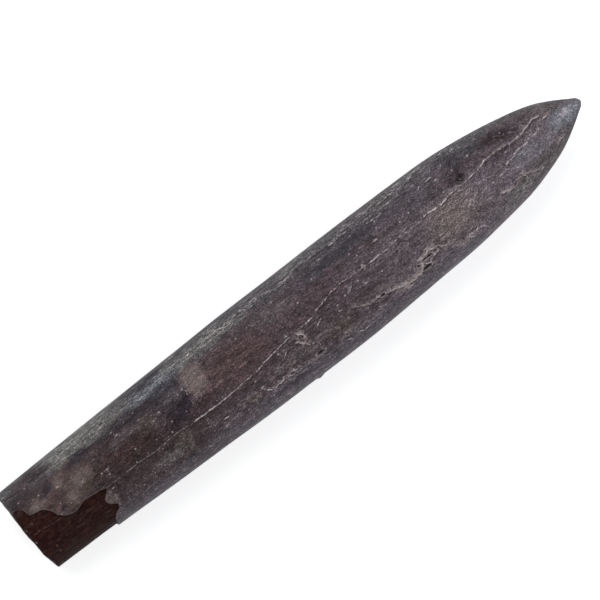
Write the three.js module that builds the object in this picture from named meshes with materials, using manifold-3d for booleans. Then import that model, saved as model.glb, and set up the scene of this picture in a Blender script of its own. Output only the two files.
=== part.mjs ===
// A belemnite guard: the solid calcite bullet that stiffened the tail of an extinct squid-like animal.
// It is one piece of stone. It is slightly wider than it is high, swells gently to the middle of its
// length, tapers to a blunt point at the apex and ends at the other side in an uneven break, the
// stump. A thin outer layer has spalled off beside the stump, and a line of small pits follows a
// crack along one flank.
//
// Frame: +X runs from the stump to the apex, +Z is up, and the guard lies on its belly on z = 0.
// The origin is on the floor below the middle of its box. Lengths are in millimetres.
import * as THREE from "three";
import { mergeVertices } from "three/addons/utils/BufferGeometryUtils.js";
import Module from "manifold-3d";

const wasm = await Module();
wasm.setup();

// ---------------------------------------------------------------- driving dimensions

const LENGTH = 84.6;
const STUMP_X = -LENGTH / 2;
const APEX_X = LENGTH / 2;

// Half widths of the guard, from its axis to the flank on the +Y side and on the -Y side.
const LEFT_FLANK = [
  [STUMP_X, 6.12],
  [-36, 6.27],
  [-27, 6.42],
  [-15, 6.43],
  [-8, 6.55],
  [0, 6.46],
  [9, 6.36],
  [20, 6.15],
  [24, 5.91],
  [28.5, 5.29],
  [33, 4.43],
  [37, 3.37],
  [39.3, 2.29],
  [41.7, 0.84],
  [APEX_X, 0.45],
];
const RIGHT_FLANK = [
  [STUMP_X, 5.56],
  [-30.5, 5.88],
  [-22, 6.12],
  [-16, 6.29],
  [-11, 6.53],
  [-3, 6.67],
  [3, 6.78],
  [8, 6.74],
  [15, 6.52],
  [21.5, 6.25],
  [26, 5.77],
  [31, 5.1],
  [34.5, 4.21],
  [37, 3.35],
  [39.3, 2.19],
  [41.7, 0.7],
  [APEX_X, 0.3],
];
const HEIGHT_TO_WIDTH = 0.93;
const APEX_BLUNT = 0.4; // length over which the point is rounded off
const RIM_WEAR = 0.45; // radius of the worn edge round the stump

// The belly is straight as far as BELLY_END, where the guard is thickest. It is worn down by
// BELLY_WEAR, which leaves the narrow flat that the guard rests on. Past it the axis droops a little.
const BELLY_END = 4;
const BELLY_WEAR = 0.12;
const APEX_DROOP = 0.35;

// The layer that has spalled off beside the stump, as two outlines seen from straight above: the
// upper one bounds the scar on the back of the guard, the lower one on its belly. SCAR_EDGE_X is
// where both meet on the flank.
const SCAR_DEPTH = 0.32;
const SCAR_EDGE_X = -32.9;
const SCAR_ABOVE = [
  [-41.4, 3.3],
  [-40.7, 2.9],
  [-40.4, 1.75],
  [-39, 1.5],
  [-38.1, 0.8],
  [-37.65, -0.3],
  [-37.2, -0.75],
  [-36.2, -1.25],
  [-35.5, -1.3],
  [-34.3, -0.88],
  [-33.2, -0.95],
  [-31.05, -1.36],
  [-31.75, -2.03],
  [-32.2, -2.76],
  [-31.55, -3.45],
  [-31.15, -3.95],
  [-31.35, -4.3],
  [-32.15, -4.65],
];
const SCAR_BELOW = [
  [-41.5, -1.9],
  [-40.3, -2.2],
  [-39.1, -1.7],
  [-37.4, -2.5],
  [-36.2, -3.4],
  [-34.9, -3.3],
  [-33.8, -4.1],
];

// Small pits, as the place of each seen from above or from below and its size on the surface.
const PITS = [
  { x: 15.5, y: -4.33, long: 1.3, wide: 0.5, deep: 0.3 },
  { x: 16.5, y: -3.36, long: 0.8, wide: 0.3, deep: 0.2 },
  { x: 17.45, y: -3.3, long: 0.55, wide: 0.26, deep: 0.16 },
  { x: 9.23, y: -3.64, long: 0.7, wide: 0.34, deep: 0.2 },
  { x: -0.86, y: -4.43, long: 1.1, wide: 0.5, deep: 0.26 },
  { x: -26.9, y: 5.17, long: 0.75, wide: 0.4, deep: 0.22 },
  { x: -14.2, y: 3.4, long: 1.4, wide: 0.5, deep: 0.3, below: true },
  { x: 11.5, y: 4.1, long: 1.0, wide: 0.45, deep: 0.25, below: true },
  { x: 22.4, y: -3.1, long: 1.2, wide: 0.4, deep: 0.25, below: true },
];

// A grain of matrix still stuck to the right flank.
const GRAIN = { x: -2.74, long: 0.95, high: 0.8, proud: 0.15 };

// How finely the surface is divided.
const TURN_STEPS = 48;
const BODY_RINGS = 50;
const APEX_RINGS = 24;
const APEX_FROM = 24; // the rings draw together from here to the apex
const RIM_RINGS = 3;
const FACE_RINGS = 6;

// ---------------------------------------------------------------- the shape of the guard

// A smooth curve through a list of [x, value] points, as a function of x.
function curveThrough(points) {
  const slope = (i) => {
    const before = points[Math.max(i - 1, 0)];
    const after = points[Math.min(i + 1, points.length - 1)];
    return (after[1] - before[1]) / (after[0] - before[0]);
  };
  return (x) => {
    const place = THREE.MathUtils.clamp(x, points[0][0], points.at(-1)[0]);
    const last = points.findIndex(([px], i) => i > 0 && px >= place);
    const [x0, v0] = points[last - 1];
    const [x1, v1] = points[last];
    const run = x1 - x0;
    const t = (place - x0) / run;
    const rise = run * (slope(last - 1) * t * (1 - t) ** 2 - slope(last) * t * t * (1 - t));
    return v0 + (v1 - v0) * t * t * (3 - 2 * t) + rise;
  };
}
const leftFlank = curveThrough(LEFT_FLANK);
const rightFlank = curveThrough(RIGHT_FLANK);

// 1 along the guard, falling to 0 round the blunt point of the apex.
function apexRounding(x) {
  const into = THREE.MathUtils.clamp((x - APEX_X + APEX_BLUNT) / APEX_BLUNT, 0, 1);
  return Math.sqrt(1 - into * into);
}

// How far the worn edge at the stump draws the surface in.
function rimWear(x) {
  const into = THREE.MathUtils.clamp(1 - (x - STUMP_X) / RIM_WEAR, 0, 1);
  return RIM_WEAR * (1 - Math.sqrt(1 - into * into));
}

const halfHeight = (x) => (HEIGHT_TO_WIDTH * (leftFlank(x) + rightFlank(x))) / 2;

// The height of the axis above the floor.
function axisHeight(x) {
  const resting = halfHeight(Math.min(x, BELLY_END)) - BELLY_WEAR;
  const past = Math.max(x - BELLY_END, 0) / (APEX_X - BELLY_END);
  return resting - APEX_DROOP * past * past;
}

// Broad, faint swellings left by uneven growth, in millimetres outwards.
function swelling(x, turn) {
  const growth =
    0.028 * Math.sin(x / 3.9 + 1.3 * Math.cos(turn + 0.4)) +
    0.022 * Math.sin(x / 7.3 - 2 * turn) +
    0.018 * Math.cos(3 * turn + x / 11);
  return growth * apexRounding(x + 2 * APEX_BLUNT);
}

// The uneven break, as millimetres along X in from a flat cut: it leans back on the right, has
// coarse ribs that spread from the axis, drops by a ledge inside one of the growth rings and dips
// at the axis itself.
function breakRelief(share, turn) {
  const lean = 0.42 * Math.max(-Math.sin(turn), 0) ** 2 * share * share;
  const ribs = 0.13 * share * (1 + Math.sin(5 * turn + 1.1) * Math.cos(2 * turn - 4 * share));
  const ledge = 0.2 * (1 - THREE.MathUtils.smoothstep(share, 0.5, 0.62));
  const dip = 0.45 * (1 - THREE.MathUtils.smoothstep(share, 0, 0.3));
  return lean + ribs + ledge + dip;
}

// A point of the surface at x along the guard. turn is the angle round the axis, 0 at the top and
// positive towards +Y, share is 1 on the surface and 0 on the axis, and inset is a depth below it.
function pointAt(x, turn, share = 1, inset = 0) {
  const flank = Math.sin(turn) > 0 ? leftFlank(x) : rightFlank(x);
  const out = (swelling(x, turn) - rimWear(x)) * apexRounding(x) - inset;
  const across = (flank * apexRounding(x) + out) * Math.sin(turn) * share;
  const up = (halfHeight(x) * apexRounding(x) + out) * Math.cos(turn) * share;
  return new THREE.Vector3(x, across, axisHeight(x) + up);
}

// Where a point seen from straight above, or from below, lies on the surface.
function surfaceAt(x, y, below = false) {
  const flank = y > 0 ? leftFlank(x) : rightFlank(x);
  const turn = Math.asin(THREE.MathUtils.clamp(y / flank, -1, 1));
  return pointAt(x, below ? Math.PI - turn : turn);
}

// ---------------------------------------------------------------- solids

// A geometry's merged faces as a manifold-3d solid. Faces that have collapsed at a pole are dropped.
function solidOf(geometry) {
  const bare = geometry.clone();
  bare.deleteAttribute("normal");
  bare.deleteAttribute("uv");
  const merged = mergeVertices(bare, 1e-4);
  const corners = merged.index.array;
  const kept = [];
  for (let i = 0; i < corners.length; i += 3) {
    const [a, b, c] = corners.slice(i, i + 3);
    if (a !== b && b !== c && c !== a) kept.push(a, b, c);
  }
  const vertProperties = merged.attributes.position.array;
  return new wasm.Manifold(
    new wasm.Mesh({ numProp: 3, vertProperties, triVerts: new Uint32Array(kept) }),
  );
}

// A closed body turned from [share, x] points, from the apex end to the stump end, and then shaped:
// the lathe's own axis becomes X, and place(x, turn, share) gives each corner.
function turned(points, place) {
  const lathe = new THREE.LatheGeometry(
    points.map(([share, x]) => new THREE.Vector2(share, x)),
    TURN_STEPS,
  );
  const corners = lathe.attributes.position;
  for (let i = 0; i < corners.count; i++) {
    const share = Math.hypot(corners.getX(i), corners.getZ(i));
    const turn = Math.atan2(corners.getX(i), corners.getZ(i));
    const { x, y, z } = place(corners.getY(i), turn, share);
    corners.setXYZ(i, x, y, z);
  }
  return solidOf(lathe);
}

// The whole guard before anything broke off it.
function wholeGuard() {
  const points = [[0, APEX_X]];
  for (let i = 1; i <= APEX_RINGS; i++) {
    const drawn = Math.cos((i / APEX_RINGS) * (Math.PI / 2));
    points.push([1, APEX_FROM + (APEX_X - APEX_FROM) * drawn]);
  }
  const bodyEnd = STUMP_X + RIM_WEAR;
  for (let i = 1; i <= BODY_RINGS; i++) {
    points.push([1, THREE.MathUtils.lerp(APEX_FROM, bodyEnd, i / BODY_RINGS)]);
  }
  for (let i = 1; i <= RIM_RINGS; i++) {
    const into = (i / RIM_RINGS) * (Math.PI / 2);
    points.push([1, bodyEnd - RIM_WEAR * Math.sin(into)]);
  }
  for (let i = 1; i <= FACE_RINGS; i++) points.push([1 - i / FACE_RINGS, STUMP_X]);
  return turned(points, (x, turn, share) => {
    const point = pointAt(x, turn, share);
    // The relief of the break fades out along the worn edge.
    const near = 1 - THREE.MathUtils.smoothstep(x, STUMP_X, STUMP_X + 2 * RIM_WEAR);
    point.x += near * breakRelief(share, turn);
    point.z = Math.max(point.z, 0);
    return point;
  });
}

// What lies under the spalled layer. It reaches past the stump, so that only the layer is removed.
function underLayer() {
  const from = STUMP_X - 3;
  const to = -28;
  const points = [[0, to]];
  const rings = 12;
  for (let i = 0; i <= rings; i++) points.push([1, THREE.MathUtils.lerp(to, from, i / rings)]);
  points.push([0, from]);
  return turned(points, (x, turn, share) => {
    const point = pointAt(Math.max(x, STUMP_X + RIM_WEAR), turn, share, SCAR_DEPTH);
    return point.setX(x);
  });
}

// An upright block under an outline seen from above, between two heights, on the -Y side of it.
function blockUnder(outline, low, high) {
  const beyond = 9;
  const stumpSide = [STUMP_X - 2, outline[0][1]];
  const ring = [
    [SCAR_EDGE_X, -beyond],
    [stumpSide[0], -beyond],
    stumpSide,
    ...outline,
    [SCAR_EDGE_X, -RIGHT_FLANK[1][1]],
  ];
  const shape = new THREE.Shape(ring.map(([x, y]) => new THREE.Vector2(x, y)));
  const block = new THREE.ExtrudeGeometry(shape, { depth: high - low, bevelEnabled: false });
  return solidOf(block.translate(0, 0, low));
}

// The thin layer that has spalled off, from the back of the guard round its right flank to its belly.
function spalledLayer() {
  const split = axisHeight(STUMP_X);
  const above = blockUnder(SCAR_ABOVE, split, 3 * split);
  const below = blockUnder(SCAR_BELOW, -split, split);
  return above.add(below).subtract(underLayer());
}

// A rounded lump with its long side along X, tilted to lie on the surface that faces outward.
function lump(centre, outward, long, wide, deep) {
  const ball = new THREE.SphereGeometry(1, 10, 6).scale(long / 2, wide / 2, deep);
  const tilt = new THREE.Quaternion().setFromUnitVectors(new THREE.Vector3(0, 0, 1), outward);
  return solidOf(ball.applyQuaternion(tilt).translate(centre.x, centre.y, centre.z));
}

function pit({ x, y, long, wide, deep, below }) {
  const centre = surfaceAt(x, y, below);
  const outward = new THREE.Vector3(0, y, centre.z - axisHeight(x)).normalize();
  return lump(centre, outward, long, wide, deep);
}

function grain({ x, long, high, proud }) {
  const outward = new THREE.Vector3(0, -1, 0);
  return lump(pointAt(x, -Math.PI / 2), outward, long, high, proud);
}

// ---------------------------------------------------------------- the part

let solid = wholeGuard().subtract(spalledLayer()).add(grain(GRAIN));
for (const one of PITS) solid = solid.subtract(pit(one));

const { vertProperties, triVerts } = solid.getMesh();
const geometry = new THREE.BufferGeometry();
geometry.setAttribute("position", new THREE.BufferAttribute(vertProperties, 3));
geometry.setIndex(new THREE.BufferAttribute(triVerts, 1));
geometry.computeVertexNormals();

const guard = new THREE.Mesh(
  geometry,
  new THREE.MeshStandardMaterial({ color: 0x584d52, roughness: 0.5, metalness: 0, flatShading: true }),
);
guard.name = "guard";

const belemnite = new THREE.Group();
belemnite.add(guard);
export default belemnite;
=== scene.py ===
import math

import bmesh
import bpy
import numpy as np
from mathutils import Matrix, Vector, noise


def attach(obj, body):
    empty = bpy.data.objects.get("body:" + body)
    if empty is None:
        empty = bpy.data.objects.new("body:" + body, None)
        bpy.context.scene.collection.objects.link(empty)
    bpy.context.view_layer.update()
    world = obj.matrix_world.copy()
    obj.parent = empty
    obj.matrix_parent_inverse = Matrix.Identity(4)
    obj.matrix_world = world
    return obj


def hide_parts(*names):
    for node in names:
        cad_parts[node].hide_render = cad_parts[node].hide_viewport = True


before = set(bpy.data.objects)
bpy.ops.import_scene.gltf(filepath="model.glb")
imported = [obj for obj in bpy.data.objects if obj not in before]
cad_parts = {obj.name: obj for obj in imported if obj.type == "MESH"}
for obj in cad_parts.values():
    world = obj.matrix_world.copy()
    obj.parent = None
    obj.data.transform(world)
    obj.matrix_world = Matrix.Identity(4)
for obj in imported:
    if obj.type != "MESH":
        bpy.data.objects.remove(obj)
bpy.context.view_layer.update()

# ------------------------------------------------------------------------------ the guard's form
# The guard stiffened the animal's tail. It is one solid piece of calcite that grew in thin layers
# round its axis, bullet-shaped, a little wider than high and worn smooth, with a blunt apex and an
# uneven break, the stump, at its thick end. Its sizes are in millimetres until the mesh is done.

MM = 0.001  # a millimetre, in metres
LENGTH = 84.6
STUMP_X = -LENGTH / 2
APEX_X = LENGTH / 2
APEX_BLUNT = 0.4
RIM_WEAR = 0.45
HEIGHT_TO_WIDTH = 0.93
BELLY_END = 4  # the belly is straight from the stump to here, and worn flat where it rests
BELLY_WEAR = 0.12
APEX_DROOP = 0.35

# Half widths along the guard, on the +Y side and on the -Y side.
LEFT_FLANK = (
    (STUMP_X, 6.12), (-36, 6.27), (-27, 6.42), (-15, 6.43), (-8, 6.55), (0, 6.46), (9, 6.36),
    (20, 6.15), (24, 5.91), (28.5, 5.29), (33, 4.43), (37, 3.37), (39.3, 2.29), (41.7, 0.84),
    (APEX_X, 0.45),
)
RIGHT_FLANK = (
    (STUMP_X, 5.56), (-30.5, 5.88), (-22, 6.12), (-16, 6.29), (-11, 6.53), (-3, 6.67), (3, 6.78),
    (8, 6.74), (15, 6.52), (21.5, 6.25), (26, 5.77), (31, 5.1), (34.5, 4.21), (37, 3.35),
    (39.3, 2.19), (41.7, 0.7), (APEX_X, 0.3),
)


def curve_through(points):
    """A smooth curve through (x, value) points, as a function of x."""
    at, value = np.array(points, float).T
    ahead = np.minimum(np.arange(len(at)) + 1, len(at) - 1)
    behind = np.maximum(np.arange(len(at)) - 1, 0)
    slope = (value[ahead] - value[behind]) / (at[ahead] - at[behind])

    def curve(x):
        x = np.clip(x, at[0], at[-1])
        right = np.clip(np.searchsorted(at, x), 1, len(at) - 1)
        left = right - 1
        run = at[right] - at[left]
        t = (x - at[left]) / run
        bend = run * (slope[left] * t * (1 - t) ** 2 - slope[right] * t * t * (1 - t))
        return value[left] + (value[right] - value[left]) * t * t * (3 - 2 * t) + bend

    return curve


left_flank = curve_through(LEFT_FLANK)
right_flank = curve_through(RIGHT_FLANK)


def smoothstep(value, low, high):
    """0 below low, 1 above high, and smooth in between."""
    t = np.clip((value - low) / (high - low), 0, 1)
    return t * t * (3 - 2 * t)


def apex_rounding(x):
    """1 along the guard, falling to 0 round the blunt apex."""
    return np.sqrt(1 - np.clip((x - APEX_X + APEX_BLUNT) / APEX_BLUNT, 0, 1) ** 2)


def rim_wear(x):
    """How far the worn edge round the stump draws the surface in."""
    return RIM_WEAR * (1 - np.sqrt(1 - np.clip(1 - (x - STUMP_X) / RIM_WEAR, 0, 1) ** 2))


def half_height(x):
    """Half of the guard's height, from the mean of its two half widths."""
    return HEIGHT_TO_WIDTH * (left_flank(x) + right_flank(x)) / 2


def axis_height(x):
    """How high the axis lies: over the straight belly at first, then drooping to the apex."""
    past = np.clip(x - BELLY_END, 0, None) / (APEX_X - BELLY_END)
    return half_height(np.minimum(x, BELLY_END)) - BELLY_WEAR - APEX_DROOP * past**2


def girth(x):
    """The mean radius, which turns an angle round the axis into a distance on the surface."""
    return (left_flank(x) + right_flank(x)) * (1 + HEIGHT_TO_WIDTH) / 4


def swelling(x, turn):
    """Broad, faint swellings left by uneven growth."""
    growth = (
        0.028 * np.sin(x / 3.9 + 1.3 * np.cos(turn + 0.4))
        + 0.022 * np.sin(x / 7.3 - 2 * turn)
        + 0.018 * np.cos(3 * turn + x / 11)
    )
    return growth * apex_rounding(x + 2 * APEX_BLUNT)


def break_relief(share, turn):
    """The uneven break, as a distance along X in from a flat cut: a lean, ribs, a ledge, a dip."""
    lean = 0.42 * np.maximum(-np.sin(turn), 0) ** 2 * share**2
    ribs = 0.13 * share * (1 + np.sin(5 * turn + 1.1) * np.cos(2 * turn - 4 * share))
    ledge = 0.2 * (1 - smoothstep(share, 0.5, 0.62))
    dip = 0.45 * (1 - smoothstep(share, 0, 0.3))
    return lean + ribs + ledge + dip


def round_turn(angle):
    """The same angle, between minus and plus half a turn."""
    return np.remainder(angle + np.pi, 2 * np.pi) - np.pi


def on_surface(points, below=False):
    """(x, turn, weight) of (x, y[, weight]) points seen from straight above, or from below.

    turn is the angle round the axis, 0 along the back and positive towards +Y.
    """
    x, y, weight = np.array([(*point, 1.0)[:3] for point in points], float).T
    turn = np.arcsin(np.clip(y / np.where(y > 0, left_flank(x), right_flank(x)), -1, 1))
    return np.column_stack([x, np.pi - turn if below else turn, weight])


def flowing(route, steps=5):
    """A smooth route, a Catmull-Rom curve, through the same points."""
    ends = np.vstack([2 * route[0] - route[1], route, 2 * route[-1] - route[-2]])
    t = np.linspace(0, 1, steps, endpoint=False)[:, None]
    pieces = [
        0.5 * (2 * b + (c - a) * t + (2 * a - 5 * b + 4 * c - d) * t**2 + (3 * b - a - 3 * c + d) * t**3)
        for a, b, c, d in zip(ends, ends[1:], ends[2:], ends[3:])
    ]
    return np.vstack([*pieces, route[-1:]])


FAR = 99.0  # a gap wider than any on the guard


def beside(route, x, turn):
    """Each point's gap to a route, positive to its left, and the route's weight there."""
    reach = girth(x)
    gap = np.full(x.shape, FAR)
    weight = np.zeros(x.shape)
    for (xa, turn_a, weight_a), (xb, turn_b, weight_b) in zip(route, route[1:]):
        run = xb - xa
        climb = round_turn(turn_b - turn_a) * reach
        dx = x - xa
        dy = round_turn(turn - turn_a) * reach
        t = np.clip((dx * run + dy * climb) / (run**2 + climb**2 + 1e-12), 0, 1)
        away = np.hypot(dx - t * run, dy - t * climb)
        closer = away < np.abs(gap)
        gap = np.where(closer, np.where(run * dy < climb * dx, -away, away), gap)
        weight = np.where(closer, weight_a + (weight_b - weight_a) * t, weight)
    return gap, weight


# The layer that spalled off beside the stump. SCAR_ABOVE bounds it on the back and SCAR_BELOW on
# the belly, and between the two it runs round the right flank. Its edge is a little ragged.
SCAR_DEPTH = 0.32
SCAR_ROUGHNESS = 0.03
SCAR_SLOPE = (-0.04, 0.1)  # where the step down starts and ends, measured in from the outline
EDGE_WANDER, EDGE_RAGS = 0.04, 0.025
SCAR_ABOVE = (
    (-44.5, 3.6), (-41.4, 3.3), (-40.7, 2.9), (-40.5, 2.2), (-40.4, 1.75), (-39.6, 1.62),
    (-39.0, 1.5), (-38.5, 1.2), (-38.1, 0.8), (-37.85, 0.25), (-37.65, -0.3), (-37.2, -0.75),
    (-36.75, -1.05), (-36.2, -1.25), (-35.5, -1.3), (-34.95, -1.1), (-34.3, -0.88), (-33.2, -0.95),
    (-32.1, -1.1), (-31.05, -1.36), (-31.3, -1.7), (-31.75, -2.03), (-32.1, -2.4), (-32.2, -2.76),
    (-31.95, -3.15), (-31.55, -3.45), (-31.2, -3.7), (-31.15, -3.95), (-31.35, -4.3), (-31.8, -4.5),
    (-32.15, -4.65), (-32.5, -5.1),
)
SCAR_BELOW = (
    (-32.9, -5.45), (-33.4, -5.0), (-33.3, -4.4), (-33.8, -4.0), (-34.9, -3.35), (-35.6, -3.55),
    (-36.3, -3.4), (-37.4, -2.5), (-38.3, -1.9), (-39.1, -1.72), (-39.8, -2.05), (-40.3, -2.2),
    (-41.0, -1.95), (-41.5, -1.85), (-44.5, -1.7),
)
scar_route = np.vstack([on_surface(SCAR_ABOVE), on_surface(SCAR_BELOW, below=True)])
on_belly = scar_route[:, 1] > np.pi / 2
scar_route[on_belly, 1] -= 2 * np.pi  # so that the turns run on down the right flank


def inside_scar(x, turn):
    """How far points lie inside the scar's outline, negative outside it."""
    inside = np.zeros(x.shape, bool)
    for (xa, turn_a, _), (xb, turn_b, _) in zip(scar_route, np.roll(scar_route, -1, axis=0)):
        spans = (turn_a > turn) != (turn_b > turn)
        rise = turn_b - turn_a or 1.0
        inside ^= spans & (x < (xb - xa) * (turn - turn_a) / rise + xa)
    gap, _ = beside(scar_route, x, turn)
    return np.where(inside, 1, -1) * np.abs(gap)


# Pits, most of them along the veins, as (x, y, length, width, depth) seen from above or below.
PITS_ABOVE = (
    (15.5, -4.33, 1.3, 0.5, 0.3), (16.5, -3.36, 0.8, 0.3, 0.2), (17.45, -3.3, 0.55, 0.26, 0.16),
    (9.23, -3.64, 0.7, 0.34, 0.2), (-0.86, -4.43, 1.1, 0.5, 0.26), (-26.9, 5.17, 0.75, 0.4, 0.22),
    (15.8, -3.38, 0.9, 0.26, 0.14), (14.7, -3.6, 0.4, 0.36, 0.1), (10.6, -3.62, 0.3, 0.22, 0.1),
    (9.65, -2.76, 0.3, 0.2, 0.1), (-5.1, -4.32, 0.85, 0.18, 0.1), (35.6, -2.67, 0.35, 0.28, 0.1),
)
PITS_BELOW = (
    (-14.2, 3.4, 1.4, 0.5, 0.3), (11.5, 4.1, 1.0, 0.45, 0.25), (22.4, -3.1, 1.2, 0.4, 0.25),
)
pits = [
    (on_surface([(x, y)], below)[0], *size)
    for below, group in ((False, PITS_ABOVE), (True, PITS_BELOW))
    for x, y, *size in group
]


def in_pit(x, turn, pit):
    """0 at the middle of a pit and 1 at its edge."""
    (at, bearing, _), long, wide, _ = pit
    return np.hypot((x - at) / (long / 2), round_turn(turn - bearing) * girth(x) / (wide / 2))


# Veins of pale calcite that have healed cracks, as (x, y, strength) seen from straight above, and
# those of the belly seen from straight below.
MID_VEIN = (
    (-31.6, -1.3, 0.0), (-30.6, -1.33, 0.3), (-27.9, -1.35, 0.5), (-26.1, -1.35, 0.55),
    (-24.0, -1.5, 0.3), (-22.5, -1.47, 0.5), (-20.2, -1.4, 0.55), (-19.0, -1.55, 0.25),
    (-18.3, -1.65, 0.2), (-17.6, -1.62, 1.0), (-15.9, -1.7, 1.0), (-13.5, -1.75, 0.9),
    (-11.9, -1.7, 0.9), (-10.5, -1.62, 0.9), (-9.0, -1.5, 0.9), (-8.1, -1.45, 1.2), (-7.3, -1.3, 0.8),
    (-6.8, -1.2, 0.9), (-5.6, -1.02, 0.8), (-3.8, -0.82, 0.8), (-2.3, -0.69, 0.9), (-1.6, -0.62, 0.4),
    (-0.6, -0.64, 0.9), (0.2, -0.55, 1.1), (1.1, -0.43, 1.0), (1.35, -0.33, 0.1), (1.7, -0.17, 0.5),
    (1.8, -0.13, 1.1), (2.45, 0.0, 1.1), (2.6, 0.03, 0.1), (2.75, 0.06, 1.1), (3.65, 0.28, 1.2),
    (3.8, 0.36, 0.1), (4.0, 0.3, 1.0), (4.3, 0.42, 0.6), (4.65, 0.48, 0.9), (5.3, 0.48, 0.6),
    (5.8, 0.6, 0.7), (6.4, 0.63, 0.9), (6.9, 0.52, 0.3), (7.4, 0.37, 0.6), (7.8, 0.5, 0.8),
    (8.8, 0.46, 0.8), (9.45, 0.5, 1.0), (10.0, 0.41, 0.9), (11.1, 0.35, 1.1), (11.8, 0.44, 1.0),
    (12.2, 0.4, 0.4), (12.6, 0.34, 1.1), (13.3, 0.34, 1.0), (13.5, 0.38, 0.1), (13.75, 0.43, 1.0),
    (14.0, 0.45, 0.1), (14.4, 0.53, 1.2), (14.7, 0.58, 0.1), (15.1, 0.63, 0.7), (15.4, 0.6, 0.2),
    (15.9, 0.56, 0.9), (16.5, 0.5, 0.7), (17.2, 0.5, 0.1), (17.9, 0.53, 1.0), (18.4, 0.52, 0.4),
    (19.2, 0.74, 1.1), (20.0, 0.66, 1.2), (20.9, 0.6, 1.5), (21.9, 0.68, 1.3), (22.8, 0.86, 1.0),
    (24.3, 0.93, 0.6), (25.6, 0.92, 0.5), (26.1, 1.0, 0.9), (26.6, 1.07, 1.0), (27.1, 1.12, 0.9),
    (27.6, 1.15, 0.5), (28.0, 1.28, 0.8), (28.4, 1.42, 0.9), (28.9, 1.55, 0.6), (29.6, 1.5, 0.4),
    (30.8, 1.46, 0.4), (31.4, 1.46, 0.6), (32.0, 1.35, 0.3), (32.7, 1.25, 0.4), (33.7, 1.25, 0.4),
    (34.3, 1.37, 0.6), (34.9, 1.5, 0.7), (35.5, 1.65, 0.7), (36.0, 1.82, 1.0), (36.4, 1.88, 1.1),
    (36.9, 1.72, 0.8), (37.6, 1.72, 0.3), (38.6, 1.7, 0.0),
)
SCAR_VEIN = (
    (-41.6, -0.4, 0.0), (-41.0, -0.5, 0.8), (-40.0, -0.55, 0.6), (-38.9, -0.75, 0.9),
    (-37.8, -0.85, 0.6), (-37.0, -0.95, 0.0),
)
UPPER_VEIN = (
    (-20.3, 5.3, 0.0), (-18.5, 5.3, 0.5), (-16.6, 5.1, 0.6), (-15.2, 5.16, 0.7), (-14.4, 5.25, 0.4),
    (-13.9, 5.5, 0.8), (-13.2, 5.54, 1.1), (-12.8, 5.46, 0.3), (-12.1, 5.45, 0.8), (-11.4, 5.43, 0.7),
    (-10.85, 5.32, 1.1), (-10.35, 5.44, 0.8), (-9.85, 5.59, 1.0), (-9.35, 5.48, 0.9),
    (-8.55, 5.24, 1.0), (-8.1, 5.1, 1.1), (-7.2, 5.04, 1.2), (-6.8, 5.17, 0.7), (-6.35, 5.34, 1.0),
    (-5.75, 5.44, 1.0), (-5.15, 5.44, 1.0), (-4.65, 5.29, 0.9), (-4.0, 5.33, 0.9), (-3.2, 5.35, 1.0),
    (-2.75, 5.52, 0.7), (-2.25, 5.4, 0.7), (-1.75, 5.24, 0.9), (-1.2, 5.2, 0.4), (-0.2, 4.96, 0.7),
    (0.25, 4.94, 1.2), (1.25, 4.94, 1.6), (1.9, 4.97, 0.9), (2.3, 5.2, 0.8), (2.6, 5.44, 0.9),
    (3.45, 5.49, 1.3), (3.9, 5.44, 1.2), (4.4, 5.29, 0.9), (4.95, 5.29, 1.0), (5.5, 5.4, 0.5),
    (5.95, 5.54, 1.1), (6.4, 5.3, 0.4), (7.3, 5.18, 0.8), (8.45, 4.99, 1.0), (8.95, 5.09, 1.0),
    (9.25, 5.34, 0.9), (9.95, 5.52, 1.0), (10.7, 5.45, 0.9), (12.2, 5.41, 0.9), (13.5, 5.46, 1.3),
    (14.0, 5.4, 0.4), (15.0, 5.3, 0.4), (15.75, 5.29, 1.0), (16.4, 5.29, 1.1), (16.85, 5.34, 1.5),
    (17.45, 5.38, 1.4), (18.15, 5.38, 1.4), (18.5, 5.5, 0.6), (19.4, 5.52, 0.6), (19.85, 5.4, 1.0),
    (20.45, 5.46, 1.3), (20.95, 5.62, 1.0), (21.5, 5.74, 1.0), (22.0, 5.66, 0.5), (22.6, 5.6, 0.0),
)
UPPER_LOOP = (
    (9.8, 5.6, 0.0), (10.25, 5.72, 0.9), (10.7, 5.76, 1.0), (11.1, 5.68, 0.8), (11.3, 5.62, 0.6),
    (11.6, 5.72, 1.0), (12.4, 5.75, 1.0), (13.1, 5.7, 1.0), (13.6, 5.54, 0.8), (13.9, 5.56, 0.8),
    (14.2, 5.69, 0.9), (14.75, 5.76, 1.0), (15.2, 5.76, 1.0), (15.4, 5.58, 0.0),
)
UPPER_STRANDS = (
    ((-4.1, 5.6, 0.0), (-3.9, 5.6, 0.9), (-3.3, 5.62, 0.9), (-3.0, 5.62, 0.0)),
    ((0.8, 5.14, 0.0), (1.1, 5.12, 0.8), (1.6, 5.14, 0.7), (1.9, 5.18, 0.0)),
    ((9.3, 5.28, 0.0), (9.6, 5.2, 0.8), (10.3, 5.04, 0.9), (10.6, 5.0, 0.0)),
    (
        (12.8, 4.28, 0.0), (13.0, 4.3, 1.0), (13.4, 4.27, 0.4), (13.85, 4.22, 1.0), (15.05, 4.2, 1.0),
        (15.4, 4.25, 0.0),
    ),
    (
        (15.1, 5.28, 0.0), (15.5, 5.26, 0.8), (16.3, 5.22, 1.0), (17.1, 5.28, 1.0), (17.8, 5.36, 0.8),
        (18.3, 5.42, 0.0),
    ),
)
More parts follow.
